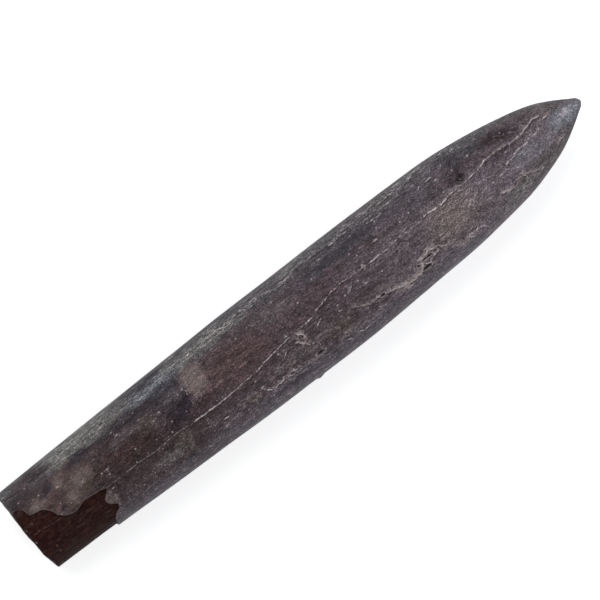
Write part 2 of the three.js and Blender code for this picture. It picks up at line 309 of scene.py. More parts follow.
LEFT_WISPS = (
    ((21.1, 3.82, 0.0), (21.45, 3.84, 0.8), (22.45, 3.86, 1.0), (22.9, 3.8, 0.0)),
    (
        (20.4, 3.35, 0.0), (20.38, 3.65, 0.8), (20.6, 3.85, 0.9), (20.9, 3.75, 0.8), (20.95, 3.5, 0.7),
        (20.8, 3.3, 0.0),
    ),
    ((-6.3, 3.1, 0.0), (-6.1, 3.4, 0.7), (-5.6, 3.4, 0.7), (-5.35, 3.1, 0.7), (-4.8, 3.15, 0.0)),
)
LOWER_HOOK = (
    (-8.75, -3.25, 0.0), (-9.05, -3.5, 0.9), (-8.85, -3.85, 0.8), (-8.6, -4.1, 1.0),
    (-8.25, -4.36, 1.1), (-8.0, -4.5, 1.0), (-7.5, -4.43, 1.1), (-6.65, -4.33, 1.1),
    (-6.05, -4.38, 1.5), (-5.55, -4.45, 1.1), (-5.2, -4.51, 0.8), (-4.4, -4.55, 0.9),
    (-3.75, -4.5, 0.5), (-3.0, -4.55, 0.6), (-2.4, -4.6, 0.8), (-1.7, -4.68, 0.8), (-0.9, -4.75, 0.8),
    (-0.2, -4.72, 0.4), (0.8, -4.85, 0.0),
)
LOWER_LOOP = (
    (-5.7, -4.3, 0.0), (-5.35, -4.14, 0.8), (-4.6, -4.16, 0.9), (-4.2, -4.36, 0.6), (-4.0, -4.44, 0.0),
)
LOWER_VEIN = (
    (5.3, -2.5, 0.0), (5.7, -2.63, 0.7), (6.1, -2.85, 0.4), (6.55, -3.12, 0.7), (6.95, -3.33, 0.9),
    (7.4, -3.52, 0.9), (7.9, -3.57, 0.8), (8.3, -3.5, 0.9), (8.75, -3.46, 1.1), (9.3, -3.44, 0.5),
    (9.95, -3.77, 0.8), (10.65, -3.93, 0.9), (11.25, -4.06, 1.1), (11.85, -4.24, 1.2),
    (12.5, -4.4, 1.3), (13.2, -4.52, 1.5), (13.7, -4.45, 1.1), (14.2, -4.4, 1.0), (14.65, -4.32, 1.1),
    (15.05, -4.0, 1.3), (15.25, -3.65, 1.2), (15.25, -3.35, 1.3), (15.65, -3.12, 1.3),
    (16.1, -2.98, 1.4), (16.5, -2.87, 1.5), (17.0, -2.8, 1.5), (17.5, -2.9, 1.4), (17.9, -3.05, 1.3),
    (18.3, -3.3, 1.0), (18.7, -3.54, 0.6), (19.3, -3.7, 0.5), (20.1, -4.1, 0.4), (20.8, -4.35, 0.0),
)
LOWER_LENS = (
    (15.2, -3.66, 0.0), (15.45, -3.75, 1.1), (15.8, -4.0, 1.4), (16.2, -4.1, 1.4), (16.5, -3.9, 1.5),
    (17.1, -3.65, 1.3), (17.7, -3.58, 1.1), (18.1, -3.35, 0.0),
)
DOTTED_VEIN = (
    (25.8, -1.3, 0.0), (26.2, -1.28, 0.6), (26.9, -1.28, 0.8), (27.3, -1.25, 0.1), (30.2, -0.7, 0.1),
    (30.5, -0.48, 0.9), (31.1, -0.35, 0.9), (31.4, -0.36, 0.5), (32.0, -0.3, 0.5), (32.3, -0.08, 0.9),
    (33.0, 0.06, 0.7), (33.6, 0.01, 1.1), (34.1, 0.02, 0.8), (34.4, 0.28, 0.3), (35.4, 0.24, 0.5),
    (36.1, 0.48, 0.4), (36.5, 0.5, 0.0),
)
HOOK = (
    (-1.66, -0.6, 0.0), (-2.0, -0.8, 0.9), (-1.9, -1.02, 0.8), (-1.65, -1.12, 1.0),
    (-1.38, -1.27, 1.2), (-1.24, -1.57, 1.3), (-1.38, -1.83, 1.1), (-1.68, -1.93, 0.0),
)
HOOK_TAIL = (
    (-2.6, -1.6, 0.0), (-2.42, -1.7, 1.2), (-2.1, -1.95, 0.9), (-1.87, -2.23, 1.3), (-1.6, -2.5, 0.9),
    (-1.3, -2.8, 0.9), (-1.35, -3.0, 0.0),
)
MID_BAND = (
    (27.4, 1.15, 0.0), (28.3, 1.42, 0.5), (29.0, 1.53, 0.5), (30.5, 1.48, 0.5), (31.8, 1.4, 0.55),
    (33.2, 1.25, 0.5), (34.4, 1.38, 0.55), (35.4, 1.62, 0.6), (36.3, 1.82, 0.7), (37.0, 1.7, 0.6),
    (38.0, 1.6, 0.0),
)
CROSS_CRACK = (
    (-16.4, 5.3, 0.0), (-16.45, 4.2, 0.35), (-16.55, 1.8, 0.5), (-16.7, 0.0, 0.3), (-16.8, -1.5, 0.3),
    (-16.75, -2.2, 0.5), (-16.7, -3.2, 0.45), (-16.7, -4.4, 0.3), (-16.7, -5.6, 0.0),
)
LOWER_CURL = (
    (23.4, -4.45, 0.0), (23.1, -4.4, 1.1), (22.5, -4.36, 1.2), (21.9, -4.34, 1.5), (21.72, -4.5, 1.6),
    (21.95, -4.75, 1.5), (22.2, -4.95, 1.0), (22.5, -5.05, 0.0),
)
LOWER_WISPS = (
    ((23.3, -4.35, 0.0), (23.6, -4.46, 1.5), (24.0, -4.74, 1.5), (24.2, -5.04, 1.2), (24.3, -5.2, 0.0)),
    ((4.2, -5.2, 0.0), (4.5, -5.38, 1.5), (4.8, -5.56, 1.5), (5.5, -5.5, 0.9), (6.1, -5.55, 0.0)),
    ((2.4, -5.15, 0.0), (2.8, -5.32, 1.1), (3.3, -5.56, 1.1), (3.6, -5.7, 0.0)),
)
TAN_WISPS = (
    ((27.8, -2.8, 0.0), (28.1, -2.88, 1.0), (28.7, -3.0, 1.1), (29.1, -3.18, 1.0), (29.8, -3.35, 0.0)),
    (
        (31.0, -2.35, 0.0), (31.25, -2.5, 0.8), (31.7, -2.83, 0.6), (32.2, -3.07, 0.7),
        (33.0, -3.35, 0.7), (33.6, -3.55, 0.9), (33.9, -3.4, 0.7), (34.9, -3.2, 0.0),
    ),
    ((36.7, -2.3, 0.0), (37.1, -2.2, 1.0), (37.8, -2.1, 0.9), (38.5, -2.0, 0.0)),
)
NICKS = (
    ((-33.5, 0.5, 0.0), (-33.3, 0.7, 0.8), (-33.0, 1.1, 1.2), (-32.8, 0.9, 0.8), (-32.7, 0.5, 0.0)),
    ((0.65, -1.75, 0.0), (0.8, -1.66, 0.8), (1.2, -1.46, 0.8), (1.6, -1.28, 0.7), (1.75, -1.22, 0.0)),
    ((-4.75, -2.25, 0.0), (-4.45, -2.06, 1.7), (-4.1, -1.85, 1.7), (-3.85, -1.7, 0.0)),
    ((37.0, 1.2, 0.0), (37.3, 1.15, 0.8), (38.1, 1.15, 0.8), (38.4, 1.1, 0.0)),
    ((-15.0, -3.7, 0.0), (-14.8, -3.68, 1.1), (-14.4, -3.66, 1.1), (-14.2, -3.66, 0.0)),
    ((-13.7, -4.28, 0.0), (-13.5, -4.24, 0.9), (-13.2, -4.15, 0.9), (-13.0, -4.08, 0.0)),
    ((-32.1, -4.7, 0.0), (-31.8, -4.7, 0.8), (-31.4, -4.65, 0.8), (-31.2, -4.6, 0.0)),
    ((24.8, 2.2, 0.0), (24.9, 1.9, 0.6), (25.1, 1.5, 0.6), (25.2, 1.3, 0.0)),
    (
        (-10.2, -3.0, 0.0), (-10.0, -3.4, 0.5), (-10.1, -3.9, 0.5), (-10.6, -4.1, 0.6),
        (-11.2, -3.9, 0.5), (-11.3, -3.4, 0.0),
    ),
    (
        (29.95, -3.35, 0.0), (30.2, -3.0, 0.5), (30.6, -2.75, 0.6), (31.1, -2.72, 0.6),
        (31.5, -2.95, 0.7), (31.6, -3.3, 0.5), (31.3, -3.6, 0.5), (30.7, -3.68, 0.4), (30.2, -3.6, 0.0),
    ),
)
# Single pale grains, as (x, y, half of the length) seen from straight above.
PALE_GRAINS = (
    (-38.1, 3.0, 0.12), (-35.7, 2.4, 0.18), (-30.5, 0.37, 0.12), (-29.7, 0.37, 0.22), (-29.8, -0.3, 0.12),
    (-26.6, 3.5, 0.12), (-26.3, 2.9, 0.2), (-25.5, 0.2, 0.1), (-20.6, 1.9, 0.16), (-21.7, 1.45, 0.16),
    (-20.0, 0.05, 0.1), (-17.5, 2.15, 0.12), (-20.1, 6.0, 0.12), (-17.4, 5.7, 0.12), (-30.5, -1.85, 0.2),
    (-27.3, -3.85, 0.12), (-22.5, -3.65, 0.12), (-26.5, -5.1, 0.22), (-24.0, -5.1, 0.14),
    (-18.3, -5.1, 0.12), (-15.2, -4.45, 0.15), (-11.85, -4.55, 0.12), (-9.2, -2.4, 0.13),
    (-8.9, -3.45, 0.22), (-8.65, -4.1, 0.15), (-7.0, -4.05, 0.12), (-8.4, -5.05, 0.12),
    (-5.05, -1.5, 0.13), (-3.0, -0.37, 0.14), (-0.9, -3.0, 0.12), (-7.9, 3.15, 0.1), (-1.9, 3.95, 0.13),
    (0.6, 1.9, 0.12), (5.8, 4.45, 0.15), (3.65, 3.15, 0.1), (7.9, -0.45, 0.1), (8.5, -1.25, 0.22),
    (10.9, -1.35, 0.1), (4.15, -1.25, 0.13), (3.95, -1.9, 0.13), (5.6, -0.9, 0.12), (10.45, 4.4, 0.1),
    (13.85, 3.95, 0.1), (13.55, 3.2, 0.1), (12.6, 2.12, 0.3), (9.65, 2.0, 0.12), (9.05, 2.7, 0.1),
    (16.2, 2.0, 0.12), (17.7, 2.2, 0.12), (15.15, -3.0, 0.3), (27.5, 3.3, 0.12), (24.2, 4.3, 0.12),
    (22.7, 3.3, 0.2), (29.3, 4.3, 0.15), (24.95, 3.0, 0.12), (24.1, -1.55, 0.16),
    (25.3, -1.05, 0.12), (27.95, -1.25, 0.15), (29.3, -1.1, 0.3), (30.1, -0.95, 0.1), (31.4, 0.7, 0.14),
    (32.1, -0.08, 0.2), (32.85, 0.08, 0.2), (33.75, 0.02, 0.35), (34.55, 0.3, 0.15), (35.4, 0.24, 0.26),
    (36.1, 0.48, 0.14), (33.7, -3.55, 0.15), (30.5, -3.95, 0.3), (31.5, -4.15, 0.25), (30.15, -4.35, 0.2),
)
# Single dark grains, in the same way.
DARK_GRAINS = (
    (22.9, 2.9, 0.3), (23.4, 2.4, 0.25), (24.9, 3.5, 0.35), (25.4, 3.9, 0.3), (24.5, 2.5, 0.25),
    (22.0, 2.7, 0.2), (21.4, 2.1, 0.2), (26.2, 3.6, 0.3), (27.6, 2.8, 0.4), (28.2, 3.9, 0.3),
    (-9.4, -2.85, 0.22), (24.9, -2.6, 0.14), (26.3, -2.2, 0.12), (24.7, -2.0, 0.12), (3.3, -5.05, 0.22),
    (-0.45, -4.95, 0.12), (7.5, -3.95, 0.35), (30.0, -2.6, 0.35), (9.0, 0.7, 0.12), (36.3, 1.6, 0.22),
    (28.6, 1.2, 0.3), (31.7, 1.15, 0.3), (33.0, 0.95, 0.25), (34.2, 0.95, 0.25), (-22.0, -3.95, 0.14),
    (2.35, -0.17, 0.12), (3.8, 0.45, 0.14), (35.0, -2.0, 0.2),
)
PALE_GRAIN_WIDE = 0.1  # half of the width
DARK_GRAIN_WIDE = 0.18
BELLY_VEINS = (
    (
        (-27.0, -5.4, 0.0), (-22.0, -5.7, 0.9), (-15.0, -5.6, 0.9), (-9.0, -5.9, 0.7), (-3.0, -5.7, 0.9),
        (4.0, -6.0, 0.9), (11.0, -5.7, 0.8), (17.0, -5.9, 0.6), (22.0, -5.5, 0.0),
    ),
    (
        (-34.0, 5.6, 0.0), (-28.0, 5.8, 0.8), (-20.0, 5.5, 0.9), (-12.0, 5.7, 0.9), (-3.0, 5.4, 0.8),
        (5.0, 5.6, 0.9), (14.0, 5.3, 0.7), (21.0, 5.0, 0.0),
    ),
    (
        (-30.0, 2.6, 0.0), (-26.5, 2.9, 0.7), (-22.0, 2.4, 0.9), (-18.0, 2.7, 0.8), (-14.2, 3.2, 1.0),
        (-11.0, 2.9, 0.8), (-6.0, 3.1, 0.6), (-1.0, 2.5, 0.9), (4.0, 2.7, 0.7), (9.0, 3.4, 0.8),
        (13.0, 3.9, 0.9), (17.0, 3.6, 0.7), (22.0, 3.2, 0.4), (26.0, 3.0, 0.0),
    ),
    (
        (-28.0, -3.6, 0.0), (-23.0, -3.2, 0.7), (-17.0, -3.7, 0.8), (-12.0, -3.3, 0.6),
        (-6.0, -3.6, 0.9), (0.0, -2.9, 0.8), (5.0, -2.5, 0.5), (10.0, -2.8, 0.8), (16.0, -2.4, 0.9),
        (22.4, -2.9, 0.9), (27.0, -2.2, 0.6), (33.0, -1.6, 0.4), (37.0, -1.0, 0.0),
    ),
)

# Fine veins are thin lines, broad ones ragged bands and split ones ragged pairs of lines. Veins
# that come close to one another are in different sets, so each set has a clean nearest gap.
vein_sets = {
    "fine_veins": [
        *map(on_surface, (MID_VEIN, SCAR_VEIN, DOTTED_VEIN, *NICKS)),
        *(on_surface(vein, below=True) for vein in BELLY_VEINS),
    ],
    "split_veins": [*map(on_surface, (UPPER_VEIN, LOWER_HOOK, CROSS_CRACK))],
    "broad_veins": [*map(on_surface, (LOWER_VEIN, MID_BAND, HOOK, HOOK_TAIL, *TAN_WISPS))],
    "side_veins": [
        *map(on_surface, (UPPER_LOOP, *UPPER_STRANDS, *LEFT_WISPS)),
        *map(on_surface, (LOWER_LENS, LOWER_LOOP, LOWER_CURL, *LOWER_WISPS)),
    ],
}
vein_sets = {name: [flowing(route) for route in routes] for name, routes in vein_sets.items()}


def veins_near(x, turn, routes):
    """The gap to the nearest of several routes, and its weight there."""
    gap = np.full(x.shape, FAR)
    weight = np.zeros(x.shape)
    for route in routes:
        own_gap, own_weight = beside(route, x, turn)
        closer = np.abs(own_gap) < np.abs(gap)
        gap = np.where(closer, own_gap, gap)
        weight = np.where(closer, own_weight, weight)
    return gap, weight


def nearest_grain(x, turn):
    """The gap to the nearest grain, its place in that grain's own sizes, and +1 pale or -1 dark."""
    gap = np.full(x.shape, FAR)
    marks = np.zeros((3, *x.shape))
    for shade, wide, grains in ((1, PALE_GRAIN_WIDE, PALE_GRAINS), (-1, DARK_GRAIN_WIDE, DARK_GRAINS)):
        for at, up, long in grains:
            _, bearing, _ = on_surface([(at, up)])[0]
            along = x - at
            round_it = round_turn(turn - bearing) * girth(x)
            away = np.hypot(along, round_it)
            own = np.stack([along / long, round_it / wide, np.full(x.shape, shade)])
            marks = np.where(away < gap, own, marks)
            gap = np.minimum(gap, away)
    return gap, marks


# The mesh starts as a few points along half the outline of a can, which is divided, spun round X
# and given more faces along the veins, the pits and the scar's edge. Then it is drawn to its form.
TURN_STEPS = 128
APEX_FROM = 24  # from here the rings crowd together towards the apex
APEX_RINGS, BODY_RINGS, RIM_RINGS, FACE_RINGS = 90, 220, 6, 22

can = bmesh.new()
stations = (
    (APEX_X, 0), (APEX_X, 1), (APEX_FROM, 1), (STUMP_X + RIM_WEAR, 1), (STUMP_X, 1), (STUMP_X, 0),
)
corners = [can.verts.new((x, 0, r)) for x, r in stations]
sides = [can.edges.new(pair) for pair in zip(corners, corners[1:])]
for side, rings in zip(sides[1:], (APEX_RINGS, BODY_RINGS, RIM_RINGS, FACE_RINGS)):
    bmesh.ops.subdivide_edges(can, edges=[side], cuts=rings - 1)
for vert in can.verts:
    if vert.co.x > APEX_FROM:
        part = (vert.co.x - APEX_FROM) / (APEX_X - APEX_FROM)
        vert.co.x = APEX_FROM + (APEX_X - APEX_FROM) * math.sin(part * math.pi / 2)
    elif STUMP_X < vert.co.x < STUMP_X + RIM_WEAR:
        part = 1 - (vert.co.x - STUMP_X) / RIM_WEAR
        vert.co.x = STUMP_X + RIM_WEAR * (1 - math.sin(part * math.pi / 2))
bmesh.ops.spin(
    can, geom=can.verts[:] + can.edges[:], cent=(0, 0, 0), axis=(1, 0, 0), dvec=(0, 0, 0),
    angle=2 * math.pi, steps=TURN_STEPS, use_merge=True,
)
bmesh.ops.remove_doubles(can, verts=can.verts[:], dist=1e-5)


def divide(mesh, wanted):
    """Splits the faces of the can's wall that wanted(x, turn) picks into four."""
    faces = mesh.faces[:]
    x, y, z = np.array([face.calc_center_median() for face in faces]).T
    picked = wanted(x, np.arctan2(y, z)) & (x > STUMP_X + 0.01)
    edges = {edge for face, pick in zip(faces, picked) if pick for edge in face.edges}
    bmesh.ops.subdivide_edges(mesh, edges=list(edges), cuts=1, use_grid_fill=True)


# Faces are divided once this near to any fine detail, and again this near to a step.
DETAIL_REACH, STEP_REACH = 0.4, 0.3


def near_step(x, turn, edge_reach=STEP_REACH, pit_reach=STEP_REACH):
    """Whether points are near the scar's edge or a pit."""
    near = np.abs(inside_scar(x, turn)) < edge_reach
    for pit in pits:
        near |= in_pit(x, turn, pit) < 1 + pit_reach
    return near


def near_detail(x, turn):
    """Whether points are near anything that is drawn finely: a step, a vein or a grain."""
    near = near_step(x, turn, DETAIL_REACH, 2 * DETAIL_REACH)
    for routes in vein_sets.values():
        gap, weight = veins_near(x, turn, routes)
        near |= (np.abs(gap) < DETAIL_REACH) & (weight > 0.02)
    return near | (nearest_grain(x, turn)[0] < DETAIL_REACH)


divide(can, near_detail)
divide(can, near_step)
bmesh.ops.triangulate(can, faces=[face for face in can.faces if len(face.verts) > 4])

# share is 1 on the wall and falls to 0 at the middle of the break, and it is 0 at the apex's tip.
place = np.array([vert.co for vert in can.verts])
x = place[:, 0].copy()
turn = np.arctan2(place[:, 1], place[:, 2])
from_axis = np.hypot(place[:, 1], place[:, 2])
on_break = x < STUMP_X + 1e-6
share = np.where(on_break, from_axis, 1.0)
share = np.where((x > APEX_X - 1e-6) & (from_axis < 0.5), 0.0, share)


def ruffle(spacing_x, spacing_turn, seed):
    """Smooth noise from -1 to 1 over the surface, with its own spacing along and round it."""
    noises = []
    for along, bearing, radius in zip(x, turn, girth(x) * share):
        ring = Vector((math.sin(bearing), math.cos(bearing))) * radius / spacing_turn
        noises.append(noise.noise(Vector((along / spacing_x + seed, *ring))))
    return np.array(noises)


# Relief on the surface, outwards: growth swellings, fibre ridges, wear, the scar, pits and veins.
RIDGE_HIGH, WEAR_HIGH = 0.012, 0.014
inward = inside_scar(x, turn) + EDGE_WANDER * ruffle(0.7, 0.7, 40) + EDGE_RAGS * ruffle(0.25, 0.25, 60)
spalled = smoothstep(inward, *SCAR_SLOPE)
ridges = ruffle(6.0, 0.55, 0)
wear = ruffle(2.6, 1.8, 20)
out = swelling(x, turn) + RIDGE_HIGH * ridges + WEAR_HIGH * wear
out -= spalled * (SCAR_DEPTH + SCAR_ROUGHNESS * ruffle(3.0, 0.4, 80))
hollow = np.full(x.shape, -1.0)
for pit in pits:
    rounds = in_pit(x, turn, pit)
    out -= pit[-1] * np.sqrt(np.clip(1 - rounds**2, 0, 1))
    hollow = np.maximum(hollow, 1 - rounds)

# A vein is a faint ridge in places and a faint groove in others. The mesh carries the gaps to the
# veins and the places in the grains as layers, from which the materials draw them.
VEIN_REACH, VEIN_WIDE, VEIN_HIGH = 0.6, 0.13, 0.03
OUTSIDE_GRAIN = [[9.0], [9.0], [0.0]]
marks = {}
sunk = smoothstep(ruffle(0.9, 0.9, 11), 0.0, 0.3)
for name, routes in vein_sets.items():
    gap, weight = veins_near(x, turn, routes)
    marks[name] = np.column_stack([gap, weight * (np.abs(gap) < VEIN_REACH), np.zeros(x.shape)])
    profile = np.clip(weight, 0, 1) * np.exp(-((gap / VEIN_WIDE) ** 2))
    out += VEIN_HIGH * profile * (1 - 2 * sunk)
grain_gap, grain_marks = nearest_grain(x, turn)
marks["grains"] = np.where(grain_gap < DETAIL_REACH, grain_marks, OUTSIDE_GRAIN).T

flank = np.where(np.sin(turn) > 0, left_flank(x), right_flank(x))
out = (out - rim_wear(x)) * apex_rounding(x)
across = (flank * apex_rounding(x) + out) * np.sin(turn) * share
up = (half_height(x) * apex_rounding(x) + out) * np.cos(turn) * share
at_break = 1 - smoothstep(x, STUMP_X, STUMP_X + 2 * RIM_WEAR)
BREAK_LUMPS, BREAK_FIBRES = 0.07, 0.03
BREAK_INSET = BREAK_LUMPS + BREAK_FIBRES  # so that none of them stands out past the stump
lumps = BREAK_LUMPS * ruffle(1, 1.1, 30)
fibres = BREAK_FIBRES * ruffle(1, 0.4, 50)
fracture = break_relief(share, turn) + share * (lumps + fibres + BREAK_INSET)
shaped = np.column_stack([x + at_break * fracture, across, np.maximum(axis_height(x) + up, 0)])

# A grain of matrix is still stuck to the right flank.
GRAIN_X, GRAIN_LONG, GRAIN_HIGH, GRAIN_PROUD = -2.74, 0.95, 0.8, 0.15
along = (x - GRAIN_X) / (GRAIN_LONG / 2)
round_it = round_turn(turn + np.pi / 2) * girth(x) / (GRAIN_HIGH / 2)
shaped[:, 1] -= GRAIN_PROUD * np.sqrt(np.clip(1 - along**2 - round_it**2, 0, 1))

for vert, co in zip(can.verts, shaped):
    vert.co = co * MM
layers = {name: can.verts.layers.float_vector.new(name) for name in marks}
scar_layer = can.verts.layers.float.new("scar")
hollow_layer = can.verts.layers.float.new("hollow")
for i, vert in enumerate(can.verts):
    for name, layer in layers.items():
        vert[layer] = marks[name][i]
    vert[scar_layer] = inward[i]
    vert[hollow_layer] = hollow[i]
can.verts.index_update()
WORN, BARE, BROKEN = range(3)  # the order in which the guard gets its materials
for face in can.faces:
    face.smooth = True
    bare = all(inward[vert.index] > 0.02 for vert in face.verts)
    broken = all(on_break[vert.index] for vert in face.verts)
    face.material_index = BROKEN if broken else BARE if bare else WORN
bmesh.ops.remove_doubles(can, verts=can.verts[:], dist=1e-6)
bmesh.ops.recalc_face_normals(can, faces=can.faces[:])
guard_mesh = bpy.data.meshes.new("belemnite_guard")
can.to_mesh(guard_mesh)
can.free()
guard = bpy.data.objects.new("belemnite_guard", guard_mesh)
bpy.context.collection.objects.link(guard)
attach(guard, "root")
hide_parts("guard")

# --------------------------------------------------------------------------- the guard's stone
# The guard's surface is polished calcite, stained purple-brown and grey by the clay that it lay in.
# The stains are soft clouds drawn out along the guard, over fine streaks of the calcite's fibres,
# with pale veins and specks. By the apex some of the pale blue-grey is a painted highlight, and
# beside each vein runs a dark line of painted shade. The scar and the break show duller, darker
# brown stone.


class Wiring:
    """Adds nodes to a node tree. Each call returns the output of the node that it adds."""

    def __init__(self, tree):
        self.tree = tree

    def feed(self, socket, value):
        if isinstance(value, bpy.types.NodeSocket):
            self.tree.links.new(value, socket)
        elif socket.type == "RGBA" and len(value) == 3:
            socket.default_value = (*value, 1)
        else:
            socket.default_value = value

    def node(self, kind, inputs=(), output=0, **settings):
        node = self.tree.nodes.new(kind)
        for name, value in settings.items():
            setattr(node, name, value)
        for name, value in dict(inputs).items():
            self.feed(node.inputs[name], value)
        return node.outputs[output]

    def effect(self, group, **inputs):
        return self.node("ShaderNodeGroup", inputs, node_tree=group)

    def math(self, operation, a, b=0.0):
        return self.node("ShaderNodeMath", {0: a, 1: b}, operation=operation)

    def total(self, first, *others):
        for other in others:
            first = self.math("ADD", first, other)
        return first

    def product(self, first, *others):
        for other in others:
            first = self.math("MULTIPLY", first, other)
        return first

    def vector(self, operation, a, b=(0, 0, 0), **inputs):
        output = "Value" if operation == "LENGTH" else "Vector"
        return self.node("ShaderNodeVectorMath", {0: a, 1: b, **inputs}, output, operation=operation)

    def between(self, value, low, high, start=0.0, end=1.0):
        """start below low, end above high, and smooth in between."""
        inputs = {"Value": value, "From Min": low, "From Max": high, "To Min": start, "To Max": end}
        return self.node("ShaderNodeMapRange", inputs, interpolation_type="SMOOTHSTEP")

    def blend(self, amount, under, over):
        return self.node("ShaderNodeMix", {0: amount, 6: under, 7: over}, 2, data_type="RGBA")

    def clouds(self, place, scale, detail=2.0, roughness=0.5, output=0):
        inputs = {"Vector": place, "Scale": scale, "Detail": detail, "Roughness": roughness}
        return self.node("ShaderNodeTexNoise", inputs, output)

    def axes(self, vector):
        return self.node("ShaderNodeSeparateXYZ", {0: vector}).node.outputs


def new_effect(name, gives="Float", **inputs):
    """An empty node group, its wiring, the values that it is given and the result that it gives."""
    group = bpy.data.node_groups.new(name, "ShaderNodeTree")
    for socket, kind in inputs.items():
        group.interface.new_socket(name=socket, in_out="INPUT", socket_type="NodeSocket" + kind)
    group.interface.new_socket(name="Result", in_out="OUTPUT", socket_type="NodeSocket" + gives)
    given = group.nodes.new("NodeGroupInput").outputs
    return group, Wiring(group), given, group.nodes.new("NodeGroupOutput").inputs[0]


# Fibre streaks: noise drawn out along the guard. Lengths and widths are in millimetres.
streaks, wire, given, result = new_effect(
    "fibre streaks", Place="Vector", Length="Float", Width="Float", Seed="Float"
)
grid = wire.node("ShaderNodeCombineXYZ", {0: given["Length"], 1: given["Width"], 2: given["Width"]})
drawn = wire.vector("DIVIDE", given["Place"], grid)
seed = wire.node("ShaderNodeCombineXYZ", {0: given["Seed"], 1: given["Seed"]})
wire.feed(result, wire.clouds(wire.vector("ADD", drawn, seed), 1.0, 3.0, 0.6))

# Specks: round grains of up to a given size, in a share of the cells of a random lattice.
specks, wire, given, result = new_effect(
    "specks", Place="Vector", Spacing="Float", Size="Float", Share="Float"
)
lattice = wire.node("ShaderNodeCombineXYZ", {axis: given["Spacing"] for axis in range(3)})
spread = wire.vector("DIVIDE", given["Place"], lattice)
cell = wire.node("ShaderNodeTexVoronoi", {"Vector": spread, "Scale": 1.0}).node.outputs
chance = wire.axes(cell["Color"])
largest = wire.math("DIVIDE", given["Size"], given["Spacing"])
radius = wire.product(largest, wire.between(chance["Y"], 0, 1, 0.25, 0.6))
grain_mask = wire.between(cell["Distance"], wire.math("MULTIPLY", radius, 0.4), radius, 1, 0)
wire.feed(result, wire.product(grain_mask, wire.math("LESS_THAN", chance["X"], given["Share"])))

# Crazing: thin wandering lines, drawn out along the guard.
crazing, wire, given, result = new_effect("crazing", Place="Vector", Scale="Float", Width="Float")
drawn = wire.vector("MULTIPLY", given["Place"], (0.5, 1, 1))
fold = wire.math("ABSOLUTE", wire.math("SUBTRACT", wire.clouds(drawn, given["Scale"], 3.0, 0.6), 0.5))
wire.feed(result, wire.between(fold, 0.0, given["Width"], 1, 0))

# Soft patches: an ellipsoid that is 1 inside, turned about Z, with a soft edge.
patch, wire, given, result = new_effect(
    "soft patch", Place="Vector", Centre="Vector", Size="Vector", Turn="Float", Edge="Float"
)
offset = wire.vector("SUBTRACT", given["Place"], given["Centre"])
angle = {"Vector": offset, "Angle": given["Turn"]}
turned = wire.node("ShaderNodeVectorRotate", angle, rotation_type="Z_AXIS", invert=True)
distance = wire.vector("LENGTH", wire.vector("DIVIDE", turned, given["Size"]))
rim = wire.math("SUBTRACT", 1.0, given["Edge"]), wire.math("ADD", 1.0, given["Edge"])
wire.feed(result, wire.between(distance, *rim, 1, 0))

# Vein lines: a ragged, broken line where the gap that the mesh carries is near Offset.
vein_line, wire, given, result = new_effect(
    "vein line", Gap="Vector", Place="Vector", Offset="Float", Width="Float", Wander="Float",
    Breaks="Float",
)
carried = wire.axes(given["Gap"])
wander = wire.math("SUBTRACT", wire.clouds(given["Place"], 1.5, 3.0, 0.6), 0.5)
wander = wire.product(wander, given["Wander"])
gap = wire.math("ABSOLUTE", wire.total(carried["X"], wander, given["Offset"]))
thick = wire.between(wire.clouds(given["Place"], 2.2, 3.0, 0.7), 0.35, 0.65, 0.4, 1.3)
half = wire.product(given["Width"], thick, wire.math("MAXIMUM", carried["Y"], 0.6), 0.5)
line = wire.between(wire.math("DIVIDE", gap, half), 0.5, 1.5, 1, 0)
shifted = wire.vector("ADD", given["Place"], (7.3, 0, 0))
least = wire.math("ADD", given["Breaks"], 0.12)
broken = wire.between(wire.clouds(shifted, 2.2, 3.0, 0.6), given["Breaks"], least, 0.1, 1)
wire.feed(result, wire.product(line, broken, wire.math("MINIMUM", carried["Y"], 1.0)))

# The gloss adds a faint grey to every colour, and the light that falls on it is just short of full.
GLOSS_GREY, LIGHT = 0.007, 0.94


def stain(red, green, blue):
    """The stone's own colour where it should show as this one, given from 0 to 255."""
    seen = [((part / 255 + 0.055) / 1.055) ** 2.4 for part in (red, green, blue)]
    return tuple(max((part - GLOSS_GREY) / LIGHT, 0.002) for part in seen)


UMBER, PLUM, MAUVE = stain(63, 52, 54), stain(78, 66, 70), stain(97, 87, 92)
RUST, NAVY, SLATE = stain(61, 47, 47), stain(46, 42, 48), stain(67, 63, 68)
ASH, FILM, LINEN = stain(88, 82, 85), stain(82, 79, 81), stain(114, 111, 108)
HAZE, OLIVE, KHAKI, FAWN = stain(96, 90, 98), stain(80, 73, 66), stain(88, 82, 80), stain(88, 70, 70)
TAN, BUFF, LILAC = stain(117, 104, 102), stain(95, 79, 76), stain(108, 98, 104)
# The ice blue-grey by the apex is partly the stone's own paler colour and partly a painted highlight.
ICE_AND_HIGHLIGHT, SAND, CHALK = stain(134, 136, 144), stain(172, 157, 154), stain(214, 202, 202)
INK, MAROON, STEEL = stain(32, 25, 26), stain(50, 39, 42), stain(118, 120, 126)

# Bare stone: the dark brown inside of the guard, in streaks along it.
bare_stone, wire, given, result = new_effect("bare stone", "Color", Place="Vector")
umber_streak = wire.effect(streaks, Place=given["Place"], Length=2.5, Width=0.3, Seed=12.0)
brown = wire.blend(wire.between(umber_streak, 0.45, 0.8), stain(47, 31, 29), stain(60, 49, 44))
grain = wire.clouds(wire.vector("MULTIPLY", given["Place"], (0.5, 1, 1)), 2.5, 4.0, 0.8)
shade = wire.math("POWER", 2.0, wire.product(wire.math("SUBTRACT", grain, 0.5), 7.0))
wire.feed(result, wire.vector("SCALE", brown, Scale=shade))

